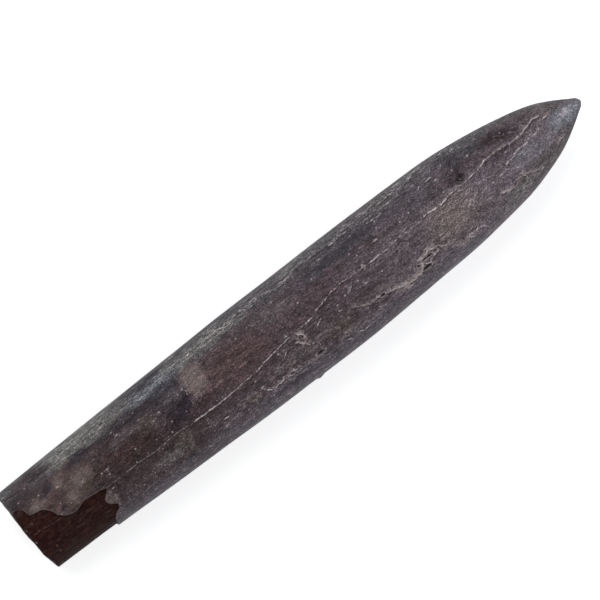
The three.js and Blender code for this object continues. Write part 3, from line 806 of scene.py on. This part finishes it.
# Broad stains, as (x, y) seen from above or from below, half sizes along and across, turn in
# degrees, colour, strength and softness of the edge.
STAINS_ABOVE = (
    (-35.6, 1.7, 4.3, 2.7, 0, BUFF, 0.75, 0.35),
    (-26.0, 1.0, 5.2, 1.9, 0, RUST, 0.75, 0.5),
    (-24.5, -3.4, 7.0, 1.8, 0, FAWN, 0.1, 0.5),
    (-31.0, 5.2, 7.0, 1.1, 0, LINEN, 0.8, 0.45),
    # This dark brown stain by the stump, high on the left flank, is partly painted shadow.
    (-38.2, 4.9, 2.7, 1.5, 0, UMBER, 0.9, 0.5),
    (-25.8, 3.8, 3.0, 0.5, 4, SLATE, 0.5, 0.5),
    (-25.6, 2.2, 2.5, 0.5, 8, ASH, 0.6, 0.6),
    (-19.0, 2.3, 2.9, 2.4, 0, SLATE, 0.5, 0.4),
    (-19.4, 4.7, 3.8, 0.8, 0, STEEL, 0.75, 0.5),
    (-19.8, 5.9, 2.4, 0.45, 0, NAVY, 0.7, 0.5),
    (-18.2, 0.45, 2.2, 0.75, 28, NAVY, 0.75, 0.45),
    (-11.4, 5.3, 5.0, 0.8, 0, LINEN, 0.7, 0.5),
    (-12.0, 4.1, 2.2, 0.5, 0, ASH, 0.5, 0.6),
    (-10.0, 1.0, 5.0, 2.6, 0, FAWN, 0.6, 0.5),
    (-9.5, 2.4, 2.6, 0.9, 0, RUST, 0.4, 0.6),
    (-2.0, 3.0, 2.2, 0.8, 0, LINEN, 0.25, 0.6),
    (8.0, 3.7, 6.4, 1.1, 0, SLATE, 0.9, 0.5),
    (9.5, 3.5, 4.5, 0.6, 0, NAVY, 0.35, 0.5),
    (18.5, 3.3, 6.0, 1.4, -3, SLATE, 0.5, 0.6),
    (29.0, 3.1, 5.5, 1.3, -10, SLATE, 0.8, 0.5),
    (28.5, -1.6, 8.5, 2.0, 0, LILAC, 0.55, 0.6),
    (27.6, 2.1, 6.0, 0.9, -4, PLUM, 0.85, 0.5),
    # This ice-grey patch, and those by the apex below, are partly pale stone and partly a painted
    # highlight.
    (34.0, -1.1, 3.4, 0.8, 4, ICE_AND_HIGHLIGHT, 0.28, 0.6),
    (21.8, -1.6, 3.8, 2.4, 0, TAN, 0.7, 0.6),
    (33.5, -3.2, 5.0, 1.0, 14, KHAKI, 0.4, 0.5),
    (30.4, -3.9, 3.0, 0.7, 8, LINEN, 0.5, 0.5),
    (28.0, 4.8, 4.5, 0.6, -10, FILM, 0.8, 0.5),
    (34.8, 3.4, 3.6, 0.6, -21, KHAKI, 0.7, 0.5),
    (39.2, 1.5, 2.2, 0.6, -32, KHAKI, 0.7, 0.5),
    (37.8, -2.4, 3.2, 0.8, 26, KHAKI, 0.7, 0.5),
    (3.2, -3.6, 2.0, 0.9, 0, OLIVE, 0.5, 0.6),
    (24.6, -3.0, 2.4, 0.8, 0, PLUM, 0.25, 0.5),
    (-33.0, 0.9, 1.9, 0.9, 0, OLIVE, 0.5, 0.5),
)
STAINS_BELOW = (
    (-19.0, -6.0, 5.0, 1.6, 0, RUST, 0.6, 0.5),
    (-4.0, -6.3, 4.0, 1.2, 0, ASH, 0.6, 0.5),
    (11.0, -6.2, 6.0, 1.4, 0, UMBER, 0.6, 0.6),
    (25.0, -5.6, 4.0, 1.2, 0, TAN, 0.5, 0.6),
    (-6.0, 6.2, 6.0, 1.6, 0, SLATE, 0.7, 0.5),
    (14.0, 6.0, 5.0, 1.4, 0, RUST, 0.5, 0.6),
    (-30.0, 1.0, 7.0, 3.5, 0, RUST, 0.5, 0.5),
    (-14.0, -1.5, 6.0, 2.5, 6, UMBER, 0.7, 0.5),
    (-18.0, 3.0, 4.0, 1.2, -8, ASH, 0.5, 0.6),
    (2.0, 1.5, 5.0, 2.0, 0, SLATE, 0.6, 0.5),
    (14.0, -2.0, 4.5, 1.6, 10, TAN, 0.5, 0.6),
    (26.0, 1.0, 5.0, 2.0, 0, PLUM, 0.5, 0.6),
    (36.0, -0.5, 3.0, 1.0, 0, ASH, 0.5, 0.6),
)

# Small blotches, in the same way. They lie over the broad stains, and are less drawn out.
BLOTCHES_ABOVE = (
    (-36.6, 4.3, 2.4, 0.5, -4, ASH, 0.6, 0.4),
    (-31.6, 3.65, 1.8, 0.5, 4, NAVY, 0.75, 0.5),
    (-37.0, 2.85, 1.0, 0.5, 20, NAVY, 0.8, 0.5),
    (-36.2, 3.7, 0.3, 0.2, 0, NAVY, 0.8, 0.5),
    (-36.3, 1.45, 0.9, 0.35, 0, NAVY, 0.6, 0.5),
    (-37.75, 1.05, 0.6, 0.22, 0, INK, 0.85, 0.4),
    (-36.6, 0.0, 0.6, 0.45, 10, NAVY, 0.85, 0.5),
    (-38.9, 2.05, 1.1, 0.4, 0, TAN, 0.6, 0.4),
    (-34.9, 0.4, 0.9, 0.8, 0, TAN, 0.45, 0.5),
    (-35.3, 2.6, 0.6, 0.5, 0, TAN, 0.4, 0.5),
    (-32.7, 1.6, 1.5, 0.7, 0, TAN, 0.4, 0.6),
    (-32.9, 0.0, 1.2, 0.35, 0, OLIVE, 0.5, 0.5),
    (-18.2, 3.9, 2.2, 0.7, 0, NAVY, 0.7, 0.5),
    (-17.9, 2.6, 1.3, 0.5, 0, ASH, 0.5, 0.6),
    (-18.3, 0.9, 1.4, 0.5, 10, INK, 0.5, 0.6),
    (-20.3, 2.4, 0.6, 1.1, -15, NAVY, 0.5, 0.6),
    (-23.6, 3.5, 2.6, 0.5, 0, NAVY, 0.45, 0.5),
    (-19.4, -0.2, 0.9, 0.5, 0, INK, 0.35, 0.6),
    (-21.6, 1.2, 1.4, 1.2, 0, PLUM, 0.6, 0.5),
    (-15.3, -0.5, 1.4, 0.5, 0, RUST, 0.7, 0.5),
    (-9.2, -2.5, 0.4, 0.25, 0, INK, 0.6, 0.5),
    (25.1, 1.65, 0.65, 0.5, 0, INK, 0.85, 0.5),
    (23.9, 1.95, 0.45, 0.4, 0, INK, 0.6, 0.6),
    (25.3, 2.7, 0.9, 0.8, 0, NAVY, 0.6, 0.6),
    (31.2, 3.0, 2.3, 0.75, -10, MAROON, 0.85, 0.5),
    (32.7, 2.6, 1.3, 0.6, -20, MAROON, 0.7, 0.5),
    # By the apex: pale stone with a painted highlight over it, its brightest spot in chalk.
    (39.5, -0.25, 2.0, 1.0, 0, ICE_AND_HIGHLIGHT, 0.75, 0.6),
    (39.9, 0.05, 0.9, 0.4, 0, CHALK, 0.3, 0.6),
    (41.2, 0.1, 1.2, 0.5, 0, ICE_AND_HIGHLIGHT, 0.4, 0.6),
    (-31.3, -2.8, 0.7, 1.1, 0, TAN, 0.5, 0.35),
    (-20.1, -2.5, 1.3, 0.8, 0, OLIVE, 0.4, 0.6),
    (-10.8, -3.9, 0.9, 0.6, 0, OLIVE, 0.6, 0.5),
    (-6.05, -3.05, 0.55, 0.5, 0, LINEN, 0.3, 0.4),
    (-10.6, -3.6, 0.75, 0.6, 0, TAN, 0.35, 0.5),
    (6.55, -0.7, 0.75, 0.2, 41, STEEL, 0.4, 0.5),
    (9.4, 0.5, 0.22, 0.4, 0, SAND, 0.4, 0.6),
    (12.0, -4.35, 1.1, 0.35, -8, SAND, 0.3, 0.5),
    (30.75, -3.2, 0.8, 0.45, 0, OLIVE, 0.6, 0.4),
    (-6.0, -5.2, 3.0, 0.3, 0, NAVY, 0.5, 0.5),
    (-22.6, 1.9, 1.2, 0.9, 0, OLIVE, 0.5, 0.6),
    (31.4, 0.8, 3.2, 0.7, 3, NAVY, 0.55, 0.6),
    (-36.9, 1.0, 1.5, 0.8, 0, FAWN, 0.5, 0.6),
    (-22.5, -3.2, 2.0, 0.7, 0, LINEN, 0.35, 0.6),
    (-0.8, -3.0, 4.0, 0.7, 0, LINEN, 0.25, 0.6),
    (16.0, -4.9, 1.6, 0.4, 0, SLATE, 0.5, 0.6),
    (35.3, 2.6, 1.8, 0.6, -15, PLUM, 0.8, 0.6),
    (20.9, -2.3, 1.8, 0.7, 0, TAN, 0.35, 0.6),
    (-37.2, 1.2, 1.6, 0.9, 0, RUST, 0.35, 0.6),
    # Partly painted shadow, like the dark brown stain by the stump above.
    (-36.9, 5.5, 1.6, 1.0, 0, UMBER, 0.5, 0.6),
    (19.5, 1.5, 3.2, 0.6, 0, SLATE, 0.3, 0.6),
    (9.0, -4.35, 1.0, 0.45, 0, INK, 0.35, 0.6),
    (3.4, -4.6, 0.8, 0.4, 0, TAN, 0.4, 0.6),
    (13.3, -4.5, 1.4, 0.4, 0, SAND, 0.2, 0.5),
    (21.5, -4.8, 1.4, 0.4, 0, SAND, 0.3, 0.5),
)
STAIN_REACH = 4.0  # how far a stain goes down into the guard


def add_stains(wire, colour, place, stains, below=False):
    for x, y, long, wide, degrees, pigment, strength, edge in stains:
        turn = on_surface([(x, y)], below)[0][1]
        z = float(axis_height(x) + half_height(x) * math.cos(turn))
        mask = wire.effect(
            patch, Place=place, Centre=(x, y, z), Size=(long, wide, STAIN_REACH),
            Turn=math.radians(degrees), Edge=edge,
        )
        colour = wire.blend(wire.math("MULTIPLY", mask, strength), colour, pigment)
    return colour


def new_stone(name):
    """A new material on the guard: its wiring, its surface's inputs and the place in millimetres."""
    material = bpy.data.materials.new(name)
    material.use_nodes = True
    guard.data.materials.append(material)
    wire = Wiring(material.node_tree)
    place = wire.vector("SCALE", wire.node("ShaderNodeTexCoord", {}, "Object"), Scale=1 / MM)
    return wire, material.node_tree.nodes["Principled BSDF"].inputs, place


# The worn outside, which covers all but the scar and the break.
wire, surface, place = new_stone("worn calcite")
side = wire.axes(place)

# The stains' places are stirred, more along the guard than round it, and the blotches' less.
stretched = wire.vector("MULTIPLY", place, (0.45, 1, 1))
stir = wire.vector("SUBTRACT", wire.clouds(stretched, 0.45, 1.0, output="Color"), (0.5, 0.5, 0.5))
swirl = wire.vector("SUBTRACT", wire.clouds(stretched, 1.6, 3.0, output="Color"), (0.5, 0.5, 0.5))
stirred = wire.vector("ADD", place, wire.vector("MULTIPLY", stir, (3.2, 1.5, 1.5)))
stirred = wire.vector("ADD", stirred, wire.vector("MULTIPLY", swirl, (1.8, 0.9, 0.9)))
nudged = wire.vector("ADD", place, wire.vector("MULTIPLY", swirl, (1.7, 1.2, 1.2)))
spread = wire.axes(stirred)

# Brown by the stump, through plum to mauve by the apex, with a grey film along the left flank and
# a haze along the right one.
colour = wire.blend(wire.between(spread["X"], -19, -14), UMBER, PLUM)
colour = wire.blend(wire.between(spread["X"], 2, 20), colour, MAUVE)
broad = wire.effect(streaks, Place=place, Length=9.0, Width=1.7, Seed=3.0)
colour = wire.blend(wire.between(broad, 0.55, 0.7, 0, 0.5), colour, RUST)
cloudy = wire.clouds(place, 0.5, 4.0, 0.6)
colour = wire.blend(wire.between(cloudy, 0.5, 0.75, 0, 0.5), colour, ASH)
film_streak = wire.effect(streaks, Place=place, Length=5.0, Width=0.45, Seed=9.0)
film = wire.product(wire.between(spread["Y"], 3.6, 5.2), wire.between(film_streak, 0.35, 0.55, 0.35, 0.95))
colour = wire.blend(film, colour, wire.blend(wire.between(broad, 0.5, 0.65), FILM, LINEN))
haze = wire.product(
    wire.between(spread["Y"], -5.4, -3.6, 0.6, 0), wire.between(film_streak, 0.35, 0.6, 0.2, 1),
)
colour = wire.blend(haze, colour, HAZE)
colour = add_stains(wire, colour, stirred, STAINS_ABOVE)
colour = add_stains(wire, colour, stirred, STAINS_BELOW, below=True)
colour = add_stains(wire, colour, nudged, BLOTCHES_ABOVE)

# A pale patch ends near the crack that crosses the guard.
pale = wire.effect(
    patch, Place=nudged, Centre=(-15.1, 2.5, 10.8), Size=(1.75, 1.75, STAIN_REACH), Turn=0.0, Edge=0.3,
)
pale = wire.product(pale, wire.between(side["X"], -16.5, -15.8), 0.9)
colour = wire.blend(pale, colour, TAN)

# Streaks and grain of the calcite, from about an eighth of a millimetre up, each with its strength.
long_streak = wire.effect(streaks, Place=place, Length=4.0, Width=0.32, Seed=1.0)
fine_streak = wire.effect(streaks, Place=place, Length=0.9, Width=0.13, Seed=5.0)
blotches = wire.clouds(wire.vector("MULTIPLY", place, (0.7, 1, 1)), 1.1)
coarse_grain = wire.clouds(wire.vector("MULTIPLY", place, (0.6, 1, 1)), 3.0, 2.0, 0.6)
fine_grain = wire.clouds(wire.vector("MULTIPLY", place, (0.7, 1, 1)), 8.0, 1.0)
shades = (long_streak, 1.8), (fine_streak, 3.5), (blotches, 1.9), (coarse_grain, 2.4), (fine_grain, 5.6)
depth = wire.total(*(wire.product(wire.math("SUBTRACT", value, 0.5), much) for value, much in shades))

# They are weaker on two smooth pale patches, low on the flanks and towards the apex.
calm = wire.effect(
    patch, Place=nudged, Centre=(-36.0, 1.9, 11.0), Size=(5.0, 3.2, STAIN_REACH), Turn=0.0, Edge=0.4,
)
calm = wire.math("MAXIMUM", calm, pale)
contrast = wire.product(
    wire.between(calm, 0, 1, 1.0, 0.6), wire.between(side["Z"], 4.0, 6.5, 0.6, 1.0),
    wire.between(side["X"], 26, 34, 1.0, 0.85),
)

# The film on the left flank has fine lines and a grain of its own, and both flanks are streaked.
film_line = wire.effect(streaks, Place=place, Length=2.2, Width=0.15, Seed=7.0)
film_line = wire.product(wire.math("SUBTRACT", film_line, 0.51), wire.between(side["Y"], 3.8, 5.2, 0, 6.5))
film_grain = wire.product(
    wire.math("SUBTRACT", fine_grain, 0.5), wire.between(side["Y"], 3.8, 5.2, 0, 4.0),
    wire.between(side["X"], -18, -4, 0.1, 1),
)
low_down = wire.between(side["Z"], 5.0, 8.0, 3.0, 0)
flank_streak = wire.product(wire.math("SUBTRACT", film_streak, 0.5), low_down)
depth = wire.total(wire.math("MULTIPLY", depth, contrast), film_line, film_grain, flank_streak, -0.1)
colour = wire.vector("SCALE", colour, Scale=wire.math("POWER", 2.0, depth))

# Crazing, thickest on the right flank and by the apex.
craze = wire.effect(crazing, Place=place, Scale=0.9, Width=0.03)
on_right = wire.between(side["Y"], -4.0, -1.5, 0.5, 0)
crazed = wire.math("MAXIMUM", on_right, wire.between(side["X"], 24, 36, 0, 0.4))
crazed = wire.product(crazed, wire.between(side["X"], -22, -6, 0.65, 1))
crazed = wire.product(crazed, craze, wire.between(wire.clouds(place, 1.1, 3.0), 0.42, 0.6))
colour = wire.blend(crazed, colour, SAND)

# Pale specks of two sizes, in drifts.
for spacing, size, share, strength in ((0.8, 0.24, 0.35, 0.6), (0.45, 0.17, 0.35, 0.45)):
    speck = wire.effect(specks, Place=place, Spacing=spacing, Size=size, Share=share)
    speck = wire.product(speck, strength, wire.between(wire.clouds(place, 0.35), 0.4, 0.6, 0.2, 1))
    colour = wire.blend(speck, colour, CHALK)

# Round the scar runs a thin pale edge, and inside it the brown stone below is bare.
inward = wire.node("ShaderNodeAttribute", {}, "Fac", attribute_name="scar")
edge = wire.product(wire.between(inward, -0.13, -0.05), wire.between(inward, 0.0, 0.04, 1, 0))
colour = wire.blend(wire.product(edge, wire.between(cloudy, 0.4, 0.6, 0.15, 0.75)), colour, TAN)
colour = wire.blend(wire.between(inward, 0.0, 0.05), colour, wire.effect(bare_stone, Place=place))

# Veins, each with a dark line of painted shade beside it, as beside a groove. Broad ones have a
# pale halo and a paler heart, and split ones a second line.
for name, width, wander, breaks, strength, pigment in (
    ("broad_veins", 0.28, 0.9, 0.38, 0.8, SAND),
    ("side_veins", 0.14, 0.4, 0.42, 1.0, CHALK),
    ("split_veins", 0.13, 0.7, 0.45, 1.1, CHALK),
    ("fine_veins", 0.14, 0.25, 0.42, 0.95, CHALK),
):
    gap = wire.node("ShaderNodeAttribute", {}, "Vector", attribute_name=name)
    line = {"Gap": gap, "Place": place, "Wander": wander}
    if name == "broad_veins":
        halo = wire.effect(vein_line, **line, Offset=0.0, Width=1.0, Breaks=0.3)
        colour = wire.blend(wire.product(halo, 0.45, wire.between(coarse_grain, 0.4, 0.6)), colour, SAND)
    if name == "split_veins":
        strand = wire.effect(vein_line, **line, Offset=-0.3, Width=0.11, Breaks=0.5)
        colour = wire.blend(wire.math("MULTIPLY", strand, 0.7), colour, CHALK)
    # A dark line of painted shade along one side of each vein.
    groove_shade = wire.effect(vein_line, **line, Offset=width, Width=width, Breaks=0.42)
    colour = wire.blend(wire.math("MULTIPLY", groove_shade, 0.8), colour, INK)
    core = wire.effect(vein_line, **line, Offset=0.0, Width=width, Breaks=breaks)
    core = wire.product(core, strength, wire.between(fine_grain, 0.35, 0.6, 0.5, 1))
    colour = wire.blend(core, colour, pigment)
    if name == "broad_veins":
        heart = wire.effect(vein_line, **line, Offset=0.03, Width=0.12, Breaks=0.52)
        colour = wire.blend(wire.math("MULTIPLY", heart, 0.8), colour, CHALK)

# Single grains, a little ragged. The third number of their layer is 1 for pale ones, -1 for dark.
grain = wire.axes(wire.node("ShaderNodeAttribute", {}, "Vector", attribute_name="grains"))
ragged = wire.product(wire.math("SUBTRACT", fine_grain, 0.5), 2.4)
in_grain = wire.node("ShaderNodeCombineXYZ", {0: grain["X"], 1: grain["Y"]})
rounds = wire.total(wire.vector("LENGTH", in_grain), ragged)
grain_core = wire.product(wire.between(rounds, 0.4, 1.4, 1, 0), wire.between(side["X"], -22, -8, 0.4, 0.5))
colour = wire.blend(wire.product(grain_core, wire.between(grain["Z"], 0.5, 1, 0, 1.0)), colour, CHALK)
colour = wire.blend(wire.product(grain_core, wire.between(grain["Z"], -1, -0.5, 1.0, 0)), colour, INK)

# The pits are dark inside with a pale rim. Their layer is 1 in the middle of a pit, 0 at its edge.
hollow = wire.node("ShaderNodeAttribute", {}, "Fac", attribute_name="hollow")
hollow = wire.total(hollow, wire.product(wire.math("SUBTRACT", coarse_grain, 0.5), 0.8))
pit_rim = wire.product(wire.between(hollow, -0.6, -0.3), wire.between(hollow, -0.2, -0.05, 1, 0))
colour = wire.blend(wire.product(pit_rim, 0.6), colour, SAND)
colour = wire.blend(wire.between(hollow, -0.05, 0.4, 0, 0.85), colour, INK)

wire.feed(surface["Base Color"], colour)

wire.feed(surface["Roughness"], wire.between(long_streak, 0.3, 0.7, 0.42, 0.54))
surface["Specular IOR Level"].default_value = 0.3
height = wire.total(wire.product(fine_streak, 0.6), wire.product(coarse_grain, 0.7))
bump = {"Strength": 0.5, "Distance": 0.03 * MM, "Height": height}
wire.feed(surface["Normal"], wire.node("ShaderNodeBump", bump))

# The floor of the scar is the same bare stone, hardly glossy, with a faint vein and pale specks at
# the stump's end.
wire, surface, place = new_stone("bare calcite")
gap = wire.node("ShaderNodeAttribute", {}, "Vector", attribute_name="fine_veins")
vein = wire.effect(vein_line, Gap=gap, Place=place, Offset=0.0, Width=0.13, Wander=0.25, Breaks=0.42)
colour = wire.blend(vein, wire.effect(bare_stone, Place=place), BUFF)
speck = wire.effect(specks, Place=place, Spacing=0.6, Size=0.4, Share=0.4)
speck = wire.product(speck, wire.between(wire.axes(place)["X"], -41.5, -38.5, 0.6, 0))
colour = wire.blend(speck, colour, TAN)
wire.feed(surface["Base Color"], colour)
rough_streak = wire.effect(streaks, Place=place, Length=3.0, Width=0.3, Seed=4.0)
wire.feed(surface["Roughness"], wire.between(rough_streak, 0.3, 0.7, 0.55, 0.7))
surface["Specular IOR Level"].default_value = 0.1
bump = {"Strength": 0.5, "Distance": 0.04 * MM, "Height": rough_streak}
wire.feed(surface["Normal"], wire.node("ShaderNodeBump", bump))

# The break shows fibres that run out from the axis across faint, uneven growth rings, and a pale
# dot where the axis ends.
wire, surface, place = new_stone("broken calcite")
centre = (0, 0, float(axis_height(STUMP_X)))
across = wire.vector("MULTIPLY", wire.vector("SUBTRACT", place, centre), (0, 1, 1))
radius = wire.vector("LENGTH", across)
outward = wire.vector("NORMALIZE", across)
slide = wire.node("ShaderNodeCombineXYZ", {0: wire.product(radius, 0.5)})
uneven = wire.total(radius, wire.product(wire.clouds(outward, 1.3, 2.0), 0.9))
spoke = wire.vector("ADD", wire.vector("SCALE", outward, Scale=14.0), slide)
fibres = wire.clouds(spoke, 1.0, 4.0, 0.6)
ringed = wire.node("ShaderNodeCombineXYZ", {0: uneven, 1: wire.product(fibres, 0.4)})
rings = wire.clouds(ringed, 2.4, 3.0, 0.6)
shown = wire.between(wire.clouds(place, 0.5, 2.0), 0.35, 0.6, 0.15, 0.6)
colour = wire.blend(wire.between(fibres, 0.35, 0.65), stain(40, 24, 22), RUST)
colour = wire.blend(wire.product(wire.between(rings, 0.5, 0.65), shown), colour, BUFF)
colour = wire.blend(wire.between(radius, 0.15, 0.6, 0.5, 0), colour, SAND)
colour = wire.vector("SCALE", colour, Scale=wire.between(wire.clouds(place, 4.0, 2.0), 0.3, 0.7, 0.6, 1.5))
wire.feed(surface["Base Color"], colour)
wire.feed(surface["Roughness"], wire.between(rings, 0.3, 0.7, 0.45, 0.65))
surface["Specular IOR Level"].default_value = 0.3
bump = {"Strength": 0.6, "Distance": 0.05 * MM, "Height": wire.total(wire.product(fibres, 1.2), rings)}
wire.feed(surface["Normal"], wire.node("ShaderNodeBump", bump))

# ------------------------------------------------------------------- floor, light and camera
# A plain pale table top, wide soft light from overhead and a little more from the left flank's
# side and from beyond the apex, and a camera that looks straight down.

bpy.ops.mesh.primitive_plane_add(size=4)
floor = bpy.context.object
floor.name = "table_top"
table_paint = bpy.data.materials.new("pale table")
table_paint.use_nodes = True
surface = table_paint.node_tree.nodes["Principled BSDF"].inputs
surface["Base Color"].default_value = (0.75, 0.75, 0.75, 1)
surface["Emission Color"].default_value = (1, 1, 1, 1)
surface["Emission Strength"].default_value = 0.6
surface["Roughness"].default_value = 0.9
surface["Specular IOR Level"].default_value = 0.2
floor.data.materials.append(table_paint)
floor.visible_glossy = False
floor.visible_diffuse = False

# The light is weakest from straight above, where the camera is, and strongest from the left flank.
# The glow from below stands in for the light that a table top throws back.
world = bpy.data.worlds.new("studio")
world.use_nodes = True
wire = Wiring(world.node_tree)
toward = wire.axes(wire.node("ShaderNodeTexCoord", {}, "Generated"))
above = wire.product(
    wire.between(toward["Z"], 0.3, 0.75, 1.25, 0.12), wire.between(toward["Z"], 0, 0.3, 0.25, 1),
    wire.between(toward["Y"], -0.8, 0.8, 0.5, 0.75),
)
below = wire.product(
    wire.between(toward["Z"], -0.05, 0.05, 1, 0), wire.between(toward["Y"], -0.5, 0.3, 0.5, 0.33),
)
background = world.node_tree.nodes["Background"].inputs
wire.feed(background["Color"], (0.93, 0.96, 1.0))
wire.feed(background["Strength"], wire.total(above, below))
bpy.context.scene.world = world


def softbox(name, place, size, power, colour=(1, 1, 1), glossy=True):
    """A square soft light that faces the guard."""
    light = bpy.data.lights.new(name, "AREA")
    light.size, light.energy, light.color = size, power, colour
    lamp = bpy.data.objects.new(name, light)
    lamp.visible_glossy = glossy
    lamp.location = place
    lamp.rotation_euler = (-Vector(place)).to_track_quat("-Z", "Y").to_euler()
    bpy.context.collection.objects.link(lamp)


softbox("overhead_left", (0.1, 0.9, 1.3), 1.2, 12, glossy=False)
softbox("overhead_right", (-0.1, -0.9, 1.3), 1.2, 7.5, glossy=False)
softbox("beyond_apex", (1.2, -0.1, 0.7), 0.5, 3, (0.88, 0.93, 1.0))

LENS, SENSOR = 1600, 36  # a very long lens, from far away, so the view has next to no perspective
FRAME_WIDTH = 0.072
AIM = (0.00103, 0.00202, 0.006)
VIEW_TURN = -38.2
camera = bpy.data.objects.new("camera", bpy.data.cameras.new("camera"))
camera.data.lens, camera.data.sensor_width = LENS, SENSOR
camera.data.clip_start, camera.data.clip_end = 0.01, 20
camera.location = (AIM[0], AIM[1], AIM[2] + FRAME_WIDTH * LENS / SENSOR)
camera.rotation_euler = (0, 0, math.radians(VIEW_TURN))
bpy.context.collection.objects.link(camera)
bpy.context.scene.camera = camera
bpy.context.scene.view_settings.view_transform = "Standard"

bpy.context.view_layer.update()
